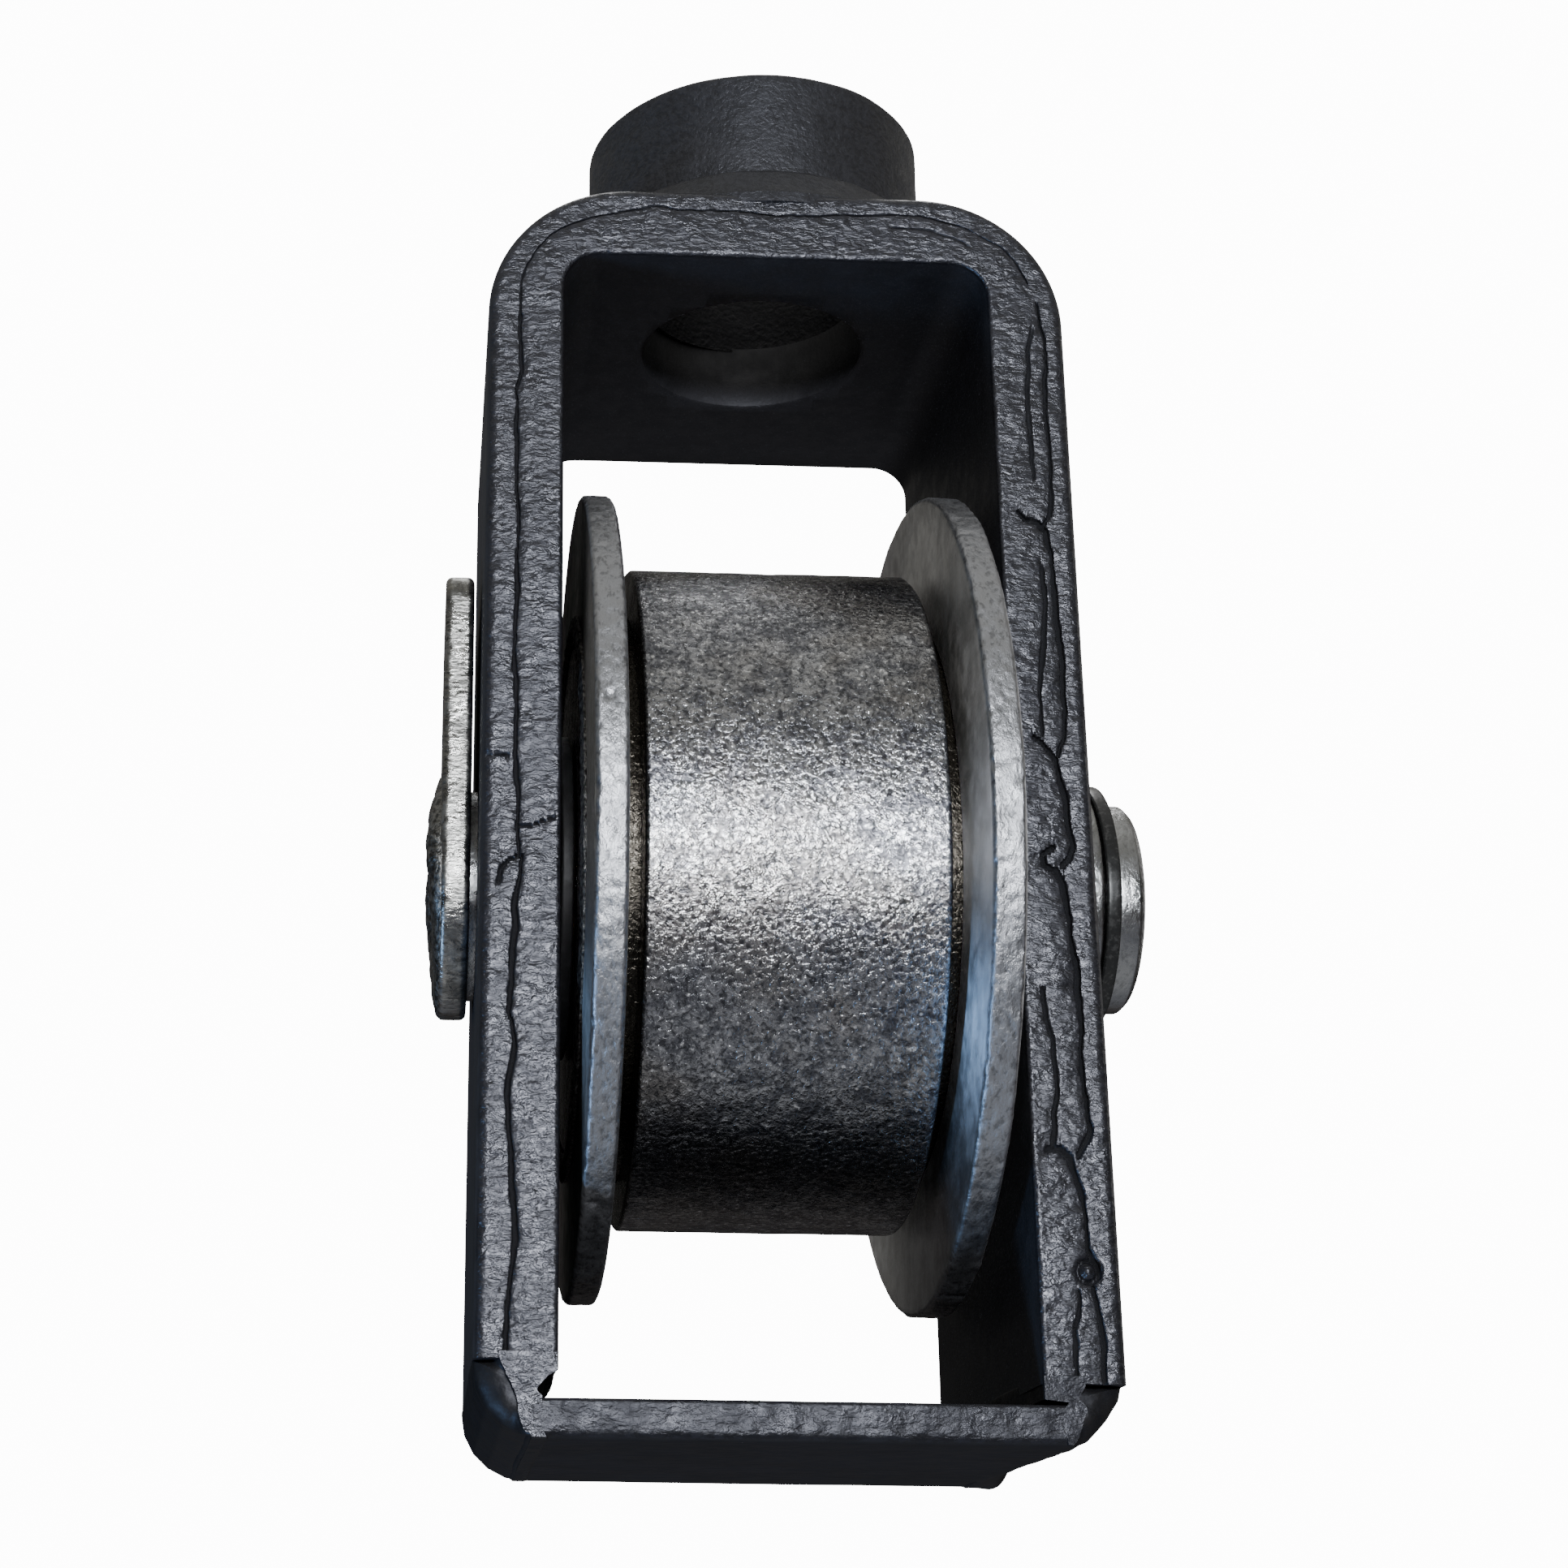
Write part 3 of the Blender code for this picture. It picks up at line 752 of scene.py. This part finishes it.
def strap_section():
    """The bar's section as (depth, y) points. Its outer corners are rounder than its inner ones."""
    corners = [(0, FRONT, 0.0014), (STRAP, FRONT, 0.0007), (STRAP, BACK, 0.0014), (0, BACK, 0.0018)]
    coarse = rounded(corners, 0.001, 6)
    section = []
    for (t, y), (next_t, next_y) in zip(coarse, coarse[1:] + coarse[:1]):
        pieces = 1
        if abs(next_y - y) > STRAP:
            pieces = FACE_COLUMNS
        elif abs(next_t - t) > STRAP / 2:
            pieces = EDGE_COLUMNS if y < 0 else EDGE_COLUMNS // 2
        for k in range(pieces):
            section.append((t + (next_t - t) * k / pieces, y + (next_y - y) * k / pieces))
    return np.array(section)


def yoke_strap():
    section = strap_section()
    count = int(PATH_LENGTH / ROW_STEP) + 1
    columns = len(section)
    s = np.linspace(0, PATH_LENGTH, count)
    outer, inner = (np.repeat(side, columns, 0) for side in strap_frame(s))
    along = np.repeat(s, columns)
    t = np.tile(section[:, 0], count)
    y = np.tile(section[:, 1], count)
    crack = np.zeros(len(y))
    lift = np.zeros(len(y))
    front = (-1, 1.0, along, rises(-y, -FRONT - 0.0007, -FRONT))
    back = (1, BACK_EDGE_SHARE, PATH_LENGTH - along, rises(y, BACK - 0.0010, BACK))
    for way, amount, places, on_edge in (front, back):
        near = on_edge > 0
        height, inside = edge_relief(places[near], t[near])
        lift[near] = way * amount * height * on_edge[near]
        crack[near] = amount * inside * on_edge[near]
    share = (t / STRAP)[:, None]
    place = outer * (1 - share) + inner * share
    rows = np.stack([place[:, 0], y + lift, place[:, 1]], 1).reshape(count, columns, 3)
    strap = loft("yoke", rows, COAT, crack=crack)
    reach = HALF_WIDTH * 1.2
    pin_hole(strap, -reach, reach)
    bevel, over = 0.0005, 0.01
    under = CROWN_TOP - STRAP
    low, high = under - over, CROWN_TOP + over
    bevelled = [(low, 0), (low, SOCKET_RADIUS + over + bevel), (under + bevel, SOCKET_RADIUS)]
    drill(strap, [*bevelled, (high, SOCKET_RADIUS), (high, 0)], (0, SOCKET_Y), "Z")
    stands_for(strap, "yoke", "black_powder_coat", "yoke_strap")


# -------------------- yoke: bar, boss and welds


def bottom_bar():
    """The bar across the foot. Its front is rough, and its ends are buried in the corner welds."""
    top = BAR_HIGH.z
    corners = [(FRONT, 0, 0.0010), (BACK, 0, 0.0018), (BACK, top, 0.0018), (FRONT, top, 0.0005)]
    section = np.array(divided(rounded(corners, 0.001, 5), 0.0005))
    middle = top / 2
    end_round = 0.0009
    ends = np.array([0, 0.1, 0.25, 0.5, 1.0]) * end_round
    buried = 0.0003
    low, high = BAR_LOW.x - buried, BAR_HIGH.x + buried
    inside = np.linspace(low + end_round, high - end_round, 170)[1:-1]
    rows = []
    for x in np.concatenate([low + ends, inside, (high - ends)[::-1]]):
        past = max(end_round - min(x - low, high - x), 0.0)
        inset = end_round - math.sqrt(end_round**2 - past**2)
        y = section[:, 0] - np.sign(section[:, 0]) * inset
        z = section[:, 1] - np.clip((section[:, 1] - middle) / middle, -1, 1) * inset
        points = at_x(x, y, z)
        at_front = rises(-y, -FRONT - 0.0008, -FRONT)
        waves, ripples = 0.00010 * rough(points, 0.005, 41, 2), 0.00007 * rough(points, 0.0015, 43, 2)
        points[:, 1] -= at_front * (waves + ripples)
        points[:, 2] += (1 - at_front) * 0.00004 * rough(points, 0.009, 45, 2)
        rows.append(points)
    bar = loft("foot_bar", rows, BAR_COAT)
    stands_for(bar, "yoke", "black_powder_coat", "bottom_bar")


def crossing(centre, direction, boundary):
    """Distance from centre along direction to the first crossing with boundary, or None."""
    distances = []
    for start, end in zip(boundary, boundary[1:]):
        run, gap = np.subtract(end, start), np.subtract(start, centre)
        det = direction[1] * run[0] - direction[0] * run[1]
        if abs(det) > 1e-12:
            away = (gap[1] * run[0] - gap[0] * run[1]) / det
            share = (direction[0] * gap[1] - direction[1] * gap[0]) / det
            if away > 0 and -0.02 <= share <= 1.02:
                distances.append(away)
    return min(distances, default=None)


def smoothed(values):
    for _ in range(3):
        values = (values + np.roll(values, 1) + np.roll(values, -1)) / 3
    return values


# How far behind the rough front face a corner weld's bead starts, and its contour lies. Where the
# front face runs out to the contour, that contour is only softened.
BEAD_LEDGE = 0.0010
BEAD_FALL = 0.0036
FACE_SOFTENED = 0.0004
FACE_SHARES = (0.02, 0.25, 0.5, 0.75, 0.93, 1.0)
BEAD_SHARES = (0.03, 0.15, 0.3, 0.45, 0.6, 0.75, 0.87, 0.95, 1.0)


def corner_weld(name, node, side, coat, corners, centre, boundary, lump=None):
    """A weld that closes a lower corner. All points are (distance from the middle, height) in millimetres.

    The rough front face ends at boundary. Outside it the smooth bead lies deeper and rounds off to
    its outer contour. lump is a place (distance, height, y, size, drop) where the bead sags.
    """
    contour = np.array(divided(rounded(corners, 0.8, 5), 0.35))
    count = len(contour)
    spokes = contour - centre
    shares = np.full(count, 0.96)
    sunk = np.zeros(count)
    for i, (spoke, length) in enumerate(zip(spokes, np.linalg.norm(spokes, axis=1))):
        away = crossing(centre, spoke / length, boundary)
        if away is not None and away < length:
            shares[i], sunk[i] = min(away / length, 0.96), 1.0
    sunk, shares = smoothed(sunk), smoothed(shares)
    ragged = np.stack([contour[:, 0] * MM, np.zeros(count), contour[:, 1] * MM], 1)
    shares = np.minimum(shares * (1 + 0.07 * sunk * rough(ragged, 0.0018, 65, 3)), 0.97)
    drop = FACE_SOFTENED + (BEAD_FALL - FACE_SOFTENED) * sunk
    ledge = BEAD_LEDGE * sunk
    rows = [(centre + spokes * (shares * share)[:, None], np.zeros(count)) for share in FACE_SHARES]
    for q in BEAD_SHARES:
        depth = ledge * min(q / BEAD_SHARES[0], 1.0) + (drop - ledge) * (1 - math.sqrt(1 - q * q))
        rows.append((centre + spokes * (shares + (1 - shares) * q)[:, None], depth))
    span = BACK - FRONT - 0.0012
    rows += [(contour, drop + (span - drop) * share) for share in np.linspace(0, 1, 60)[1:]]
    rows.append((centre + spokes * 0.97, np.full(count, span + 0.0005)))
    rows.append((centre + spokes * 0.5, np.full(count, span + 0.0007)))
    outward_xz = outward(contour)
    shaped = []
    for i, (place, depth) in enumerate(rows):
        points = np.stack([place[:, 0] * MM, FRONT + depth, place[:, 1] * MM], 1)
        if i < len(FACE_SHARES) + len(BEAD_SHARES) - 1:
            points[:, 1] -= 0.00010 * rough(points, 0.003, 63, 3)
        else:
            swell = 0.00016 * rough(points, 0.007, 61, 2)
            if lump:
                x, z, y, size, sag = lump
                away = (points[:, 0] / MM - x) ** 2 + (points[:, 2] / MM - z) ** 2
                away = away + ((points[:, 1] / MM - y) / 1.6) ** 2
                swell += sag * MM * np.exp(-away / size**2)
            points[:, 0] += outward_xz[:, 0] * swell
            points[:, 2] += outward_xz[:, 1] * swell
        points[:, 0] *= side
        shaped.append(points)
    weld = loft(name, shaped, WELD_COAT, smooth_angle=60.0)
    weld.data.materials.append(coat)
    paint_front(weld, FRONT + 0.00035, len(FACE_SHARES) * count)
    stands_for(weld, "yoke", "weld_coated", node)


def paint_front(weld, plane, most):
    """Gives the faces that lie in the yoke's front plane the yoke's own coat."""
    in_front = [face for face in weld.data.polygons if face.center.y < plane]
    for face in in_front[:most]:
        face.material_index = 1


# fmt: off
def corner_welds():
    """Both beads. Each has a dark notch at its inner side, and a tongue that reaches up into the leg."""
    half = HALF_WIDTH / MM
    corner_weld(
        "left_corner_bead", "corner_weld_left", -1, COAT,
        [(half, 9.2, 0.05), (half, 0, 8.8), (31.6, 0, 0), (31.6, 3.8, 0), (30.3, 4.0, 0), (30.3, 4.9, 0.2),
         (31.1, 5.6, 0.4), (29.6, 7.3, 0.8), (28.5, 7.9, 0.4), (28.5, 10.2, 0.05), (35.6, 10.2, 0.05),
         (36.2, 9.2, 0)],
        centre=np.array([32.6, 6.2]),
        boundary=[(39.0, 9.3), (36.8, 9.1), (35.3, 8.9), (33.4, 5.0), (32.4, -0.4)],
    )
    corner_weld(
        "right_corner_bead", "corner_weld_right", 1, BAR_COAT,
        [(half, 7.2, 0.05), (38.2, 5.6, 1.0), (36.6, 3.2, 2.0), (33.9, 0.5, 2.0), (31.6, -0.1, 0.5),
         (31.0, 0.1, 0), (31.0, 4.5, 0), (31.5, 5.03, 0.1), (28.5, 5.3, 0.1), (28.5, 8.2, 0.05),
         (33.9, 8.2, 0.05), (34.4, 7.2, 0)],
        centre=np.array([32.3, 5.5]),
        boundary=[(39.0, 7.1), (34.5, 7.1), (33.0, 6.4), (32.6, 5.4), (33.7, 4.3), (32.8, 2.9),
                  (32.2, -0.4)],
        lump=(34.6, 0.6, 25.0, 2.6, 1.3),
    )
# fmt: on


def boss():
    """The bored boss, turned from bar, with a soft top edge and a slightly uneven coat."""
    foot = BOSS_LOW.z - 0.0008
    corners = [(foot, SOCKET_RADIUS, 0), (BOSS_HIGH.z, SOCKET_RADIUS, 0.0008)]
    corners += [(BOSS_HIGH.z, BOSS_RADIUS, 0.0010), (foot, BOSS_RADIUS, 0)]
    section = divided(rounded(corners, 0.001, 5), 0.0009)

    def coat(points, heights, radii, angles):
        return 0.00007 * rough(points, 0.006, 3, 3) - 0.00009

    ring = lathe("boss", section, 300, BOSS_COAT, coat, (BOSS_X, SOCKET_Y), "Z")
    stands_for(ring, "yoke", "black_powder_coat", "boss_tube")


def boss_weld():
    """Fillet bead round the boss: full at its upper edge, then hollow down to the crown."""
    inner = BOSS_RADIUS - 0.0004
    reach = BOSS_WELD_RADIUS - inner
    rise = BOSS_WELD_HIGH.z - CROWN_TOP
    sunk = CROWN_TOP - 0.0016
    lip = 0.0009
    slope = []
    for part in np.arange(25) / 24:
        radius = inner + lip * min(part * 8, 1) + (reach - lip) * part
        slope.append((CROWN_TOP + rise * (1 - part) ** 1.25, radius))
    section = divided([*slope, (sunk, BOSS_WELD_RADIUS), (sunk, inner)], 0.0004)

    def uneven(points, heights, radii, angles):
        outside = rises(radii, inner + 0.0003, inner + 0.0014) * rises(heights, sunk, CROWN_TOP + 0.0004)
        return outside * (0.00022 * rough(points, 0.006, 12, 3) - 0.0001)

    bead = lathe("boss_bead", section, 420, BOSS_COAT, uneven, (BOSS_X, SOCKET_Y), "Z")
    stands_for(bead, "yoke", "weld_coated", "boss_weld")


# -------------------- roller


def rim_section(low, high, outer, depth, corner, steps, rim_step, face_step):
    """Section of a ring on the hub, finer within depth of its rim. corner is the radius of its corners."""
    start = outer - depth
    corners = [(high, start, 0), (high, outer, corner), (low, outer, corner), (low, start, 0)]
    rim = rounded(corners, 0, steps)
    faces = divided([(low, start), (low, ON_HUB), (high, ON_HUB), (high, start)], face_step, closed=False)
    return divided(rim, rim_step, closed=False) + faces[1:-1]


def flange(name, node, material, seed):
    """A sawn ring: turned faces, and a coarse rim whose corners are nicked."""
    low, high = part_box(node)
    outer = half_height(low, high)

    def worn(points, heights, radii, angles):
        at_rim = rises(radii, outer - 0.0010, outer - 0.0004)
        waves = 0.00010 * rough(points, 0.006, seed, 2)
        pits = np.minimum(0, lattice_noise(points, 0.0020, seed + 5) + 0.45) * 0.0004
        lumps = 0.00008 * rough(points, 0.0011, seed + 7, 2)
        return at_rim * (waves + pits + lumps - 0.00015)

    section = rim_section(low.x, high.x, outer, 0.003, 0.0007, 6, 0.0003, 0.0016)
    stands_for(lathe(name, section, 960, material, worn), "roller", "roller_zinc", node)


def drum():
    def rolled(points, heights, radii, angles):
        outside = rises(radii, DRUM_RADIUS - 0.0008, DRUM_RADIUS - 0.0002)
        dents = np.minimum(0, lattice_noise(points, 0.0035, 63) + 0.62) * 0.0004
        return outside * (0.00006 * rough(points, 0.005, 21, 3) + dents - 0.0001)

    section = rim_section(DRUM_LOW.x, DRUM_HIGH.x, DRUM_RADIUS, 0.0015, 0.0006, 5, 0.0005, 0.002)
    stands_for(lathe("drum", section, 640, DRUM_ZINC, rolled), "roller", "roller_zinc", "drum_sleeve")


def hub():
    low, high = HUB_LOW.x, HUB_HIGH.x
    shoulder, run, edge = HUB_RADIUS - HUB_BEVEL, 0.8 * HUB_BEVEL, 0.0003
    corners = [(low, HUB_BORE, 0.0004), (high, HUB_BORE, 0.0004), (high, shoulder, edge)]
    corners += [(high - run, HUB_RADIUS, edge), (low + run, HUB_RADIUS, edge), (low, shoulder, edge)]

    def drawn(points, heights, radii, angles):
        return 0.00003 * rough(points, 0.004, 71, 2) - 0.00003

    core = lathe("hub_core", divided(rounded(corners, 0, 3), 0.0012), 300, DRUM_ZINC, drawn)
    stands_for(core, "roller", "roller_zinc", "hub")


def flange_weld(name, node, side, seed):
    """The lumpy ring of weld metal between a hub end and its flange."""
    low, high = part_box(node)
    face, root = (low.x, high.x) if side < 0 else (high.x, low.x)
    shoulder = HUB_RADIUS - HUB_BEVEL + 2 * GAP
    middle = (HUB_RADIUS + shoulder) / 2
    corners = [(face, shoulder, 0), (root, HUB_RADIUS - GAP, 0), (face, HUB_RADIUS + GAP, 0)]
    corners += [(face + side * 0.0004, middle, 0.0015)]
    section = divided(rounded(corners, 0, 5), 0.0005)

    def lumpy(points, heights, radii, angles):
        proud = rises(side * (heights - face), -0.0004, 0)
        scallops = 0.00012 * np.abs(np.sin(angles * 38 + rough(points, 0.01, seed, 2)))
        return proud * (scallops + 0.00012 * rough(points, 0.003, seed, 3) - 0.0001)

    stands_for(lathe(name, section, 480, WELD_ZINC, lumpy), "roller", "weld_zinc", node)


def ring_on_pin(name, node, edge, body, slot, material):
    """A turned ring with softened edges: a bushing, washer or spacer."""
    low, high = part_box(node)
    outer = half_height(low, high)
    corners = [(low.x, ON_PIN), (high.x, ON_PIN), (high.x, outer), (low.x, outer)]
    section = divided(rounded(corners, edge, 4), 0.0012)
    stands_for(lathe(name, section, 240, material), body, slot, node)


# -------------------- pin and keeper


def pin():
    """The pin, grooved for its ring, with a chamfer at its free end."""
    low, high = PIN_LOW.x, PIN_HIGH.x
    chamfer, edge = 0.0008, 0.0001
    corners = [(low, 0, 0), (low, PIN_RADIUS, 0.0003)]
    corners += [(GROOVE_START, PIN_RADIUS, edge), (GROOVE_START, GROOVE_RADIUS, edge)]
    corners += [(GROOVE_END, GROOVE_RADIUS, edge), (GROOVE_END, PIN_RADIUS, edge)]
    corners += [(high - chamfer, PIN_RADIUS, 0.0004), (high, PIN_RADIUS - chamfer, 0.0003), (high, 0, 0)]
    section = divided(rounded(corners, 0, 3), 0.0009)
    stands_for(lathe("pin", section, 320, PIN_ZINC), "pin", "zinc_plate", "pin_shaft")


def plate_outline():
    """The keeper plate's outline as (y, z): half round below, square with round corners on top."""
    half = PLATE_HIGH.y
    corner_y, corner_z = half - PLATE_CORNER, PLATE_HIGH.z - PLATE_CORNER
    outline = []

    def arc(y, z, radius, first, sweep, steps):
        for k in range(steps + 1):
            turn = first + sweep * k / steps
            outline.append((y + radius * math.cos(turn), z + radius * math.sin(turn)))

    arc(0, AXIS_Z, half, math.pi, math.pi, 96)
    arc(corner_y, corner_z, PLATE_CORNER, 0.0, math.pi / 2, 12)
    arc(-corner_y, corner_z, PLATE_CORNER, math.pi / 2, math.pi / 2, 12)
    return np.array(divided(outline, 0.0005))


def keeper_plate():
    """The tail plate: sheared and tumbled, so its rim is round and its cut marks run across it."""
    outline = plate_outline()
    out = outward(outline)
    low, high = PLATE_LOW.x, PLATE_HIGH.x
    edge = 0.0009
    turns = np.linspace(math.pi / 2, 0, 7)
    profile = [(edge * (1 - math.sin(turn)), edge * (1 - math.cos(turn))) for turn in turns]
    span = high - low - 2 * edge
    rows = [(low + down, inset) for down, inset in profile]
    rows += [(low + edge + span * k / 8, 0.0) for k in range(1, 8)]
    rows += [(high - down, inset) for down, inset in profile[::-1]]
    shaped = []
    for x, inset in rows:
        place = outline - out * inset
        points = at_x(x, *place.T)
        worn = (1 - inset / edge) * (0.00006 * rough(points, 0.0035, 81, 3) - 0.00006)
        points[:, 1:] += out * worn[:, None]
        shaped.append(points)
    plate = loft("tail_plate", shaped, PLATE_ZINC)
    pin_hole(plate, low - 0.01, high + 0.01)
    stands_for(plate, "pin", "zinc_plate", "keeper_plate")


# How full the bead round the pin's end is, from 0 to 1, at four heights.
LUMP_HEIGHTS = (0.0585, 0.0790, 0.0840, 0.0900)
LUMP_FULLNESS = (0.0, 1.0, 0.75, 0.1)


def keeper_weld():
    """The bead round the pin's end: a heavy lump above, running out below."""
    buried = 0.0004
    base, crest = PIN_WELD_HIGH.x + buried, PIN_WELD_HIGH.x - PIN_WELD_LOW.x
    inner, outer = 0.0100, half_height(PIN_WELD_LOW, PIN_WELD_HIGH)
    rows = []
    for turn in np.linspace(0, math.tau, 360, endpoint=False):
        full = 0.25 + 0.75 * np.interp(AXIS_Z + outer * math.sin(turn), LUMP_HEIGHTS, LUMP_FULLNESS)
        row = []
        for share in np.linspace(0, 1, 17):
            arch = math.sqrt(max(1 - (2 * share - 1) ** 2, 0.0))
            row.append((base - (crest * full + buried) * arch, inner + (outer - inner) * share))
        row += [(base + 0.0002, outer), (base + 0.0002, inner)]
        rows.append([(x, r * math.cos(turn), AXIS_Z + r * math.sin(turn)) for x, r in row])
    rows = np.array(rows)
    flat = rows.reshape(-1, 3)
    proud = rises(-flat[:, 0], -base, -base + 0.0008)
    flat[:, 0] += proud * (0.00022 - 0.0002 * rough(flat, 0.0028, 91, 3))
    bead = loft("pin_bead", rows, WELD_ZINC, ring=True)
    stands_for(bead, "pin", "weld_zinc", "keeper_weld")


def snap_ring():
    """The open ring in the pin's groove, with its gap towards +Y."""
    low, high = RING_LOW.x, RING_HIGH.x
    inner = GROOVE_RADIUS + GAP
    corners = [(low, inner), (high, inner), (high, RING_RADIUS), (low, RING_RADIUS)]
    section = np.array(divided(rounded(corners, 0.0003, 4), 0.0005))
    middle = section.mean(0)
    start = math.radians(RING_GAP_DEG / 2)
    turns = np.linspace(start, math.tau - start, 260)
    rows = []
    for k, turn in enumerate(turns):
        shrink = 0.93 if k in (0, len(turns) - 1) else 1.0
        x, r = (middle + (section - middle) * shrink).T
        rows.append(np.stack([x, r * np.cos(turn), AXIS_Z + r * np.sin(turn)], 1))
    ring = loft("retaining_ring", rows, RING_STEEL)
    stands_for(ring, "pin", "ring_steel", "snap_ring")


# -------------------- stage, light and camera

FLOOR_Z = -0.034
PALE = (0.95, 0.95, 0.95)

# What the metal mirrors, by the height of the direction: -1 is straight down, 1 is straight up.
SURROUNDINGS = [
    (-1.0, (0.450, 0.450, 0.460)),
    (-0.7, (0.200, 0.205, 0.230)),
    (-0.35, (0.095, 0.085, 0.080)),
    (-0.05, (0.012, 0.012, 0.013)),
    (0.28, (0.012, 0.012, 0.012)),
    (0.42, (0.100, 0.098, 0.095)),
    (0.55, (0.090, 0.089, 0.085)),
    (0.75, (0.170, 0.167, 0.158)),
    (1.0, (0.400, 0.388, 0.356)),
]
# How much of it is left in the directions towards +Y.
BACK_DIM = 0.9


def stage():
    """A pale floor under the yoke. It is seen, but lights nothing and isn't mirrored."""
    surface = Surface("pale_floor", PALE, 0.9, specular=0.0)
    surface.set("Emission Color", (*PALE, 1.0))
    surface.set("Emission Strength", 2.0)
    corners = [(x, y, FLOOR_Z) for x, y in ((-4, -4), (4, -4), (4, 4), (-4, 4))]
    floor = mesh_object("floor", corners, [(0, 1, 2, 3)], surface.material)
    floor.visible_diffuse = False
    floor.visible_glossy = False
    floor.visible_shadow = False


def world():
    """White to the camera. To the object it is a dim workshop, lightest overhead and underfoot."""
    made = bpy.data.worlds.new("studio")
    bpy.context.scene.world = made
    made.use_nodes = True
    tree = made.node_tree
    tree.nodes.clear()
    where = add_node(tree, "TexCoord").outputs["Generated"]
    direction = add_node(tree, "SeparateXYZ", {0: where}).outputs
    height = add_node(tree, "MapRange", {"Value": direction["Z"], "From Min": -1.0}).outputs[0]
    sky = add_node(tree, "ValToRGB", {0: height})
    sky.color_ramp.interpolation = "EASE"
    stops = sky.color_ramp.elements
    for k, (place, color) in enumerate(SURROUNDINGS):
        stop = stops[k] if k < 2 else stops.new(0.5)
        stop.position = (place + 1) / 2
        stop.color = (*color, 1.0)
    behind = {"From Min": -0.3, "From Max": 0.6, "To Min": 1.0, "To Max": BACK_DIM}
    power = add_node(tree, "MapRange", {"Value": direction["Y"], **behind}).outputs[0]
    lit = add_node(tree, "Background", {"Color": sky.outputs[0], "Strength": power}).outputs[0]
    seen = add_node(tree, "Background", {"Color": (*PALE, 1.0), "Strength": 14.0}).outputs[0]
    to_camera = add_node(tree, "LightPath").outputs["Is Camera Ray"]
    mix = add_node(tree, "MixShader", enumerate((to_camera, lit, seen))).outputs[0]
    add_node(tree, "OutputWorld", {0: mix})


def area_light(name, place, target, size, power, color=(1.0, 1.0, 1.0)):
    light = bpy.data.lights.new(name, "AREA")
    light.shape = "RECTANGLE"
    light.size, light.size_y = size
    light.energy = power
    light.color = color
    obj = bpy.data.objects.new(name, light)
    bpy.context.scene.collection.objects.link(obj)
    obj.location = place
    obj.rotation_euler = (Vector(target) - Vector(place)).to_track_quat("-Z", "Y").to_euler()


def lights():
    """A small lamp in front at the pin's height, a bluish one low on the left, and weaker ones around."""
    middle = (0.0, 0.0, 0.08)
    area_light("key", (0.01, -0.60, 0.108), middle, (0.14, 0.065), 4.0, (0.94, 0.96, 1.0))
    area_light("cool", (-0.78, -0.27, -0.50), middle, (0.14, 0.14), 4.5, (0.33, 0.58, 1.0))
    area_light("top", (0.1, -0.1, 1.2), middle, (0.7, 0.7), 0.5)
    area_light("left", (-1.2, 0.3, 0.3), middle, (0.5, 0.9), 0.10, (0.95, 0.98, 1.0))
    area_light("right", (1.1, 0.7, 0.4), middle, (0.4, 0.8), 0.9, (1.0, 0.98, 0.95))
    area_light("back", (0.1, 0.7, 1.3), middle, (0.5, 0.4), 3.5)


def camera():
    """Close in front of the left leg, just under the bar's level, looking up."""
    place = (-0.0450, -0.341378, -0.028901)
    yaw, pitch, roll = 0.0363, 0.31903, 0.0109
    ahead = Vector((math.sin(yaw) * math.cos(pitch), math.cos(yaw) * math.cos(pitch), math.sin(pitch)))
    level = Vector((math.cos(yaw), -math.sin(yaw), 0.0))
    lift = level.cross(ahead)
    side = math.cos(roll) * level + math.sin(roll) * lift
    up = -math.sin(roll) * level + math.cos(roll) * lift
    data = bpy.data.cameras.new("camera")
    data.sensor_width = 36.0
    data.lens = 60.195
    data.shift_x = 0.1687
    data.shift_y = 0.0328
    data.clip_start = 0.01
    obj = bpy.data.objects.new("camera", data)
    bpy.context.scene.collection.objects.link(obj)
    turn = Matrix((side, up, -ahead)).transposed().to_4x4()
    obj.matrix_world = Matrix.Translation(place) @ turn
    bpy.context.scene.camera = obj


# -------------------- build

yoke_strap()
bottom_bar()
corner_welds()
boss()
boss_weld()
flange("left_flange", "flange_left", SHADED_LEFT_FLANGE_ZINC, 101)
flange("right_flange", "flange_right", LIT_RIGHT_FLANGE_ZINC, 202)
drum()
hub()
flange_weld("left_hub_bead", "flange_weld_left", -1, 111)
flange_weld("right_hub_bead", "flange_weld_right", 1, 121)
for hand in ("left", "right"):
    ring_on_pin(f"{hand}_bush", f"bushing_{hand}", 0.0004, "roller", "bronze", BRONZE)
    ring_on_pin(f"{hand}_washer", f"thrust_washer_{hand}", 0.0003, "roller", "black_nylon", NYLON)
pin()
keeper_plate()
keeper_weld()
ring_on_pin("spacer", "pin_spacer", 0.0005, "pin", "zinc_plate", PIN_ZINC)
snap_ring()

stage()
world()
lights()
camera()
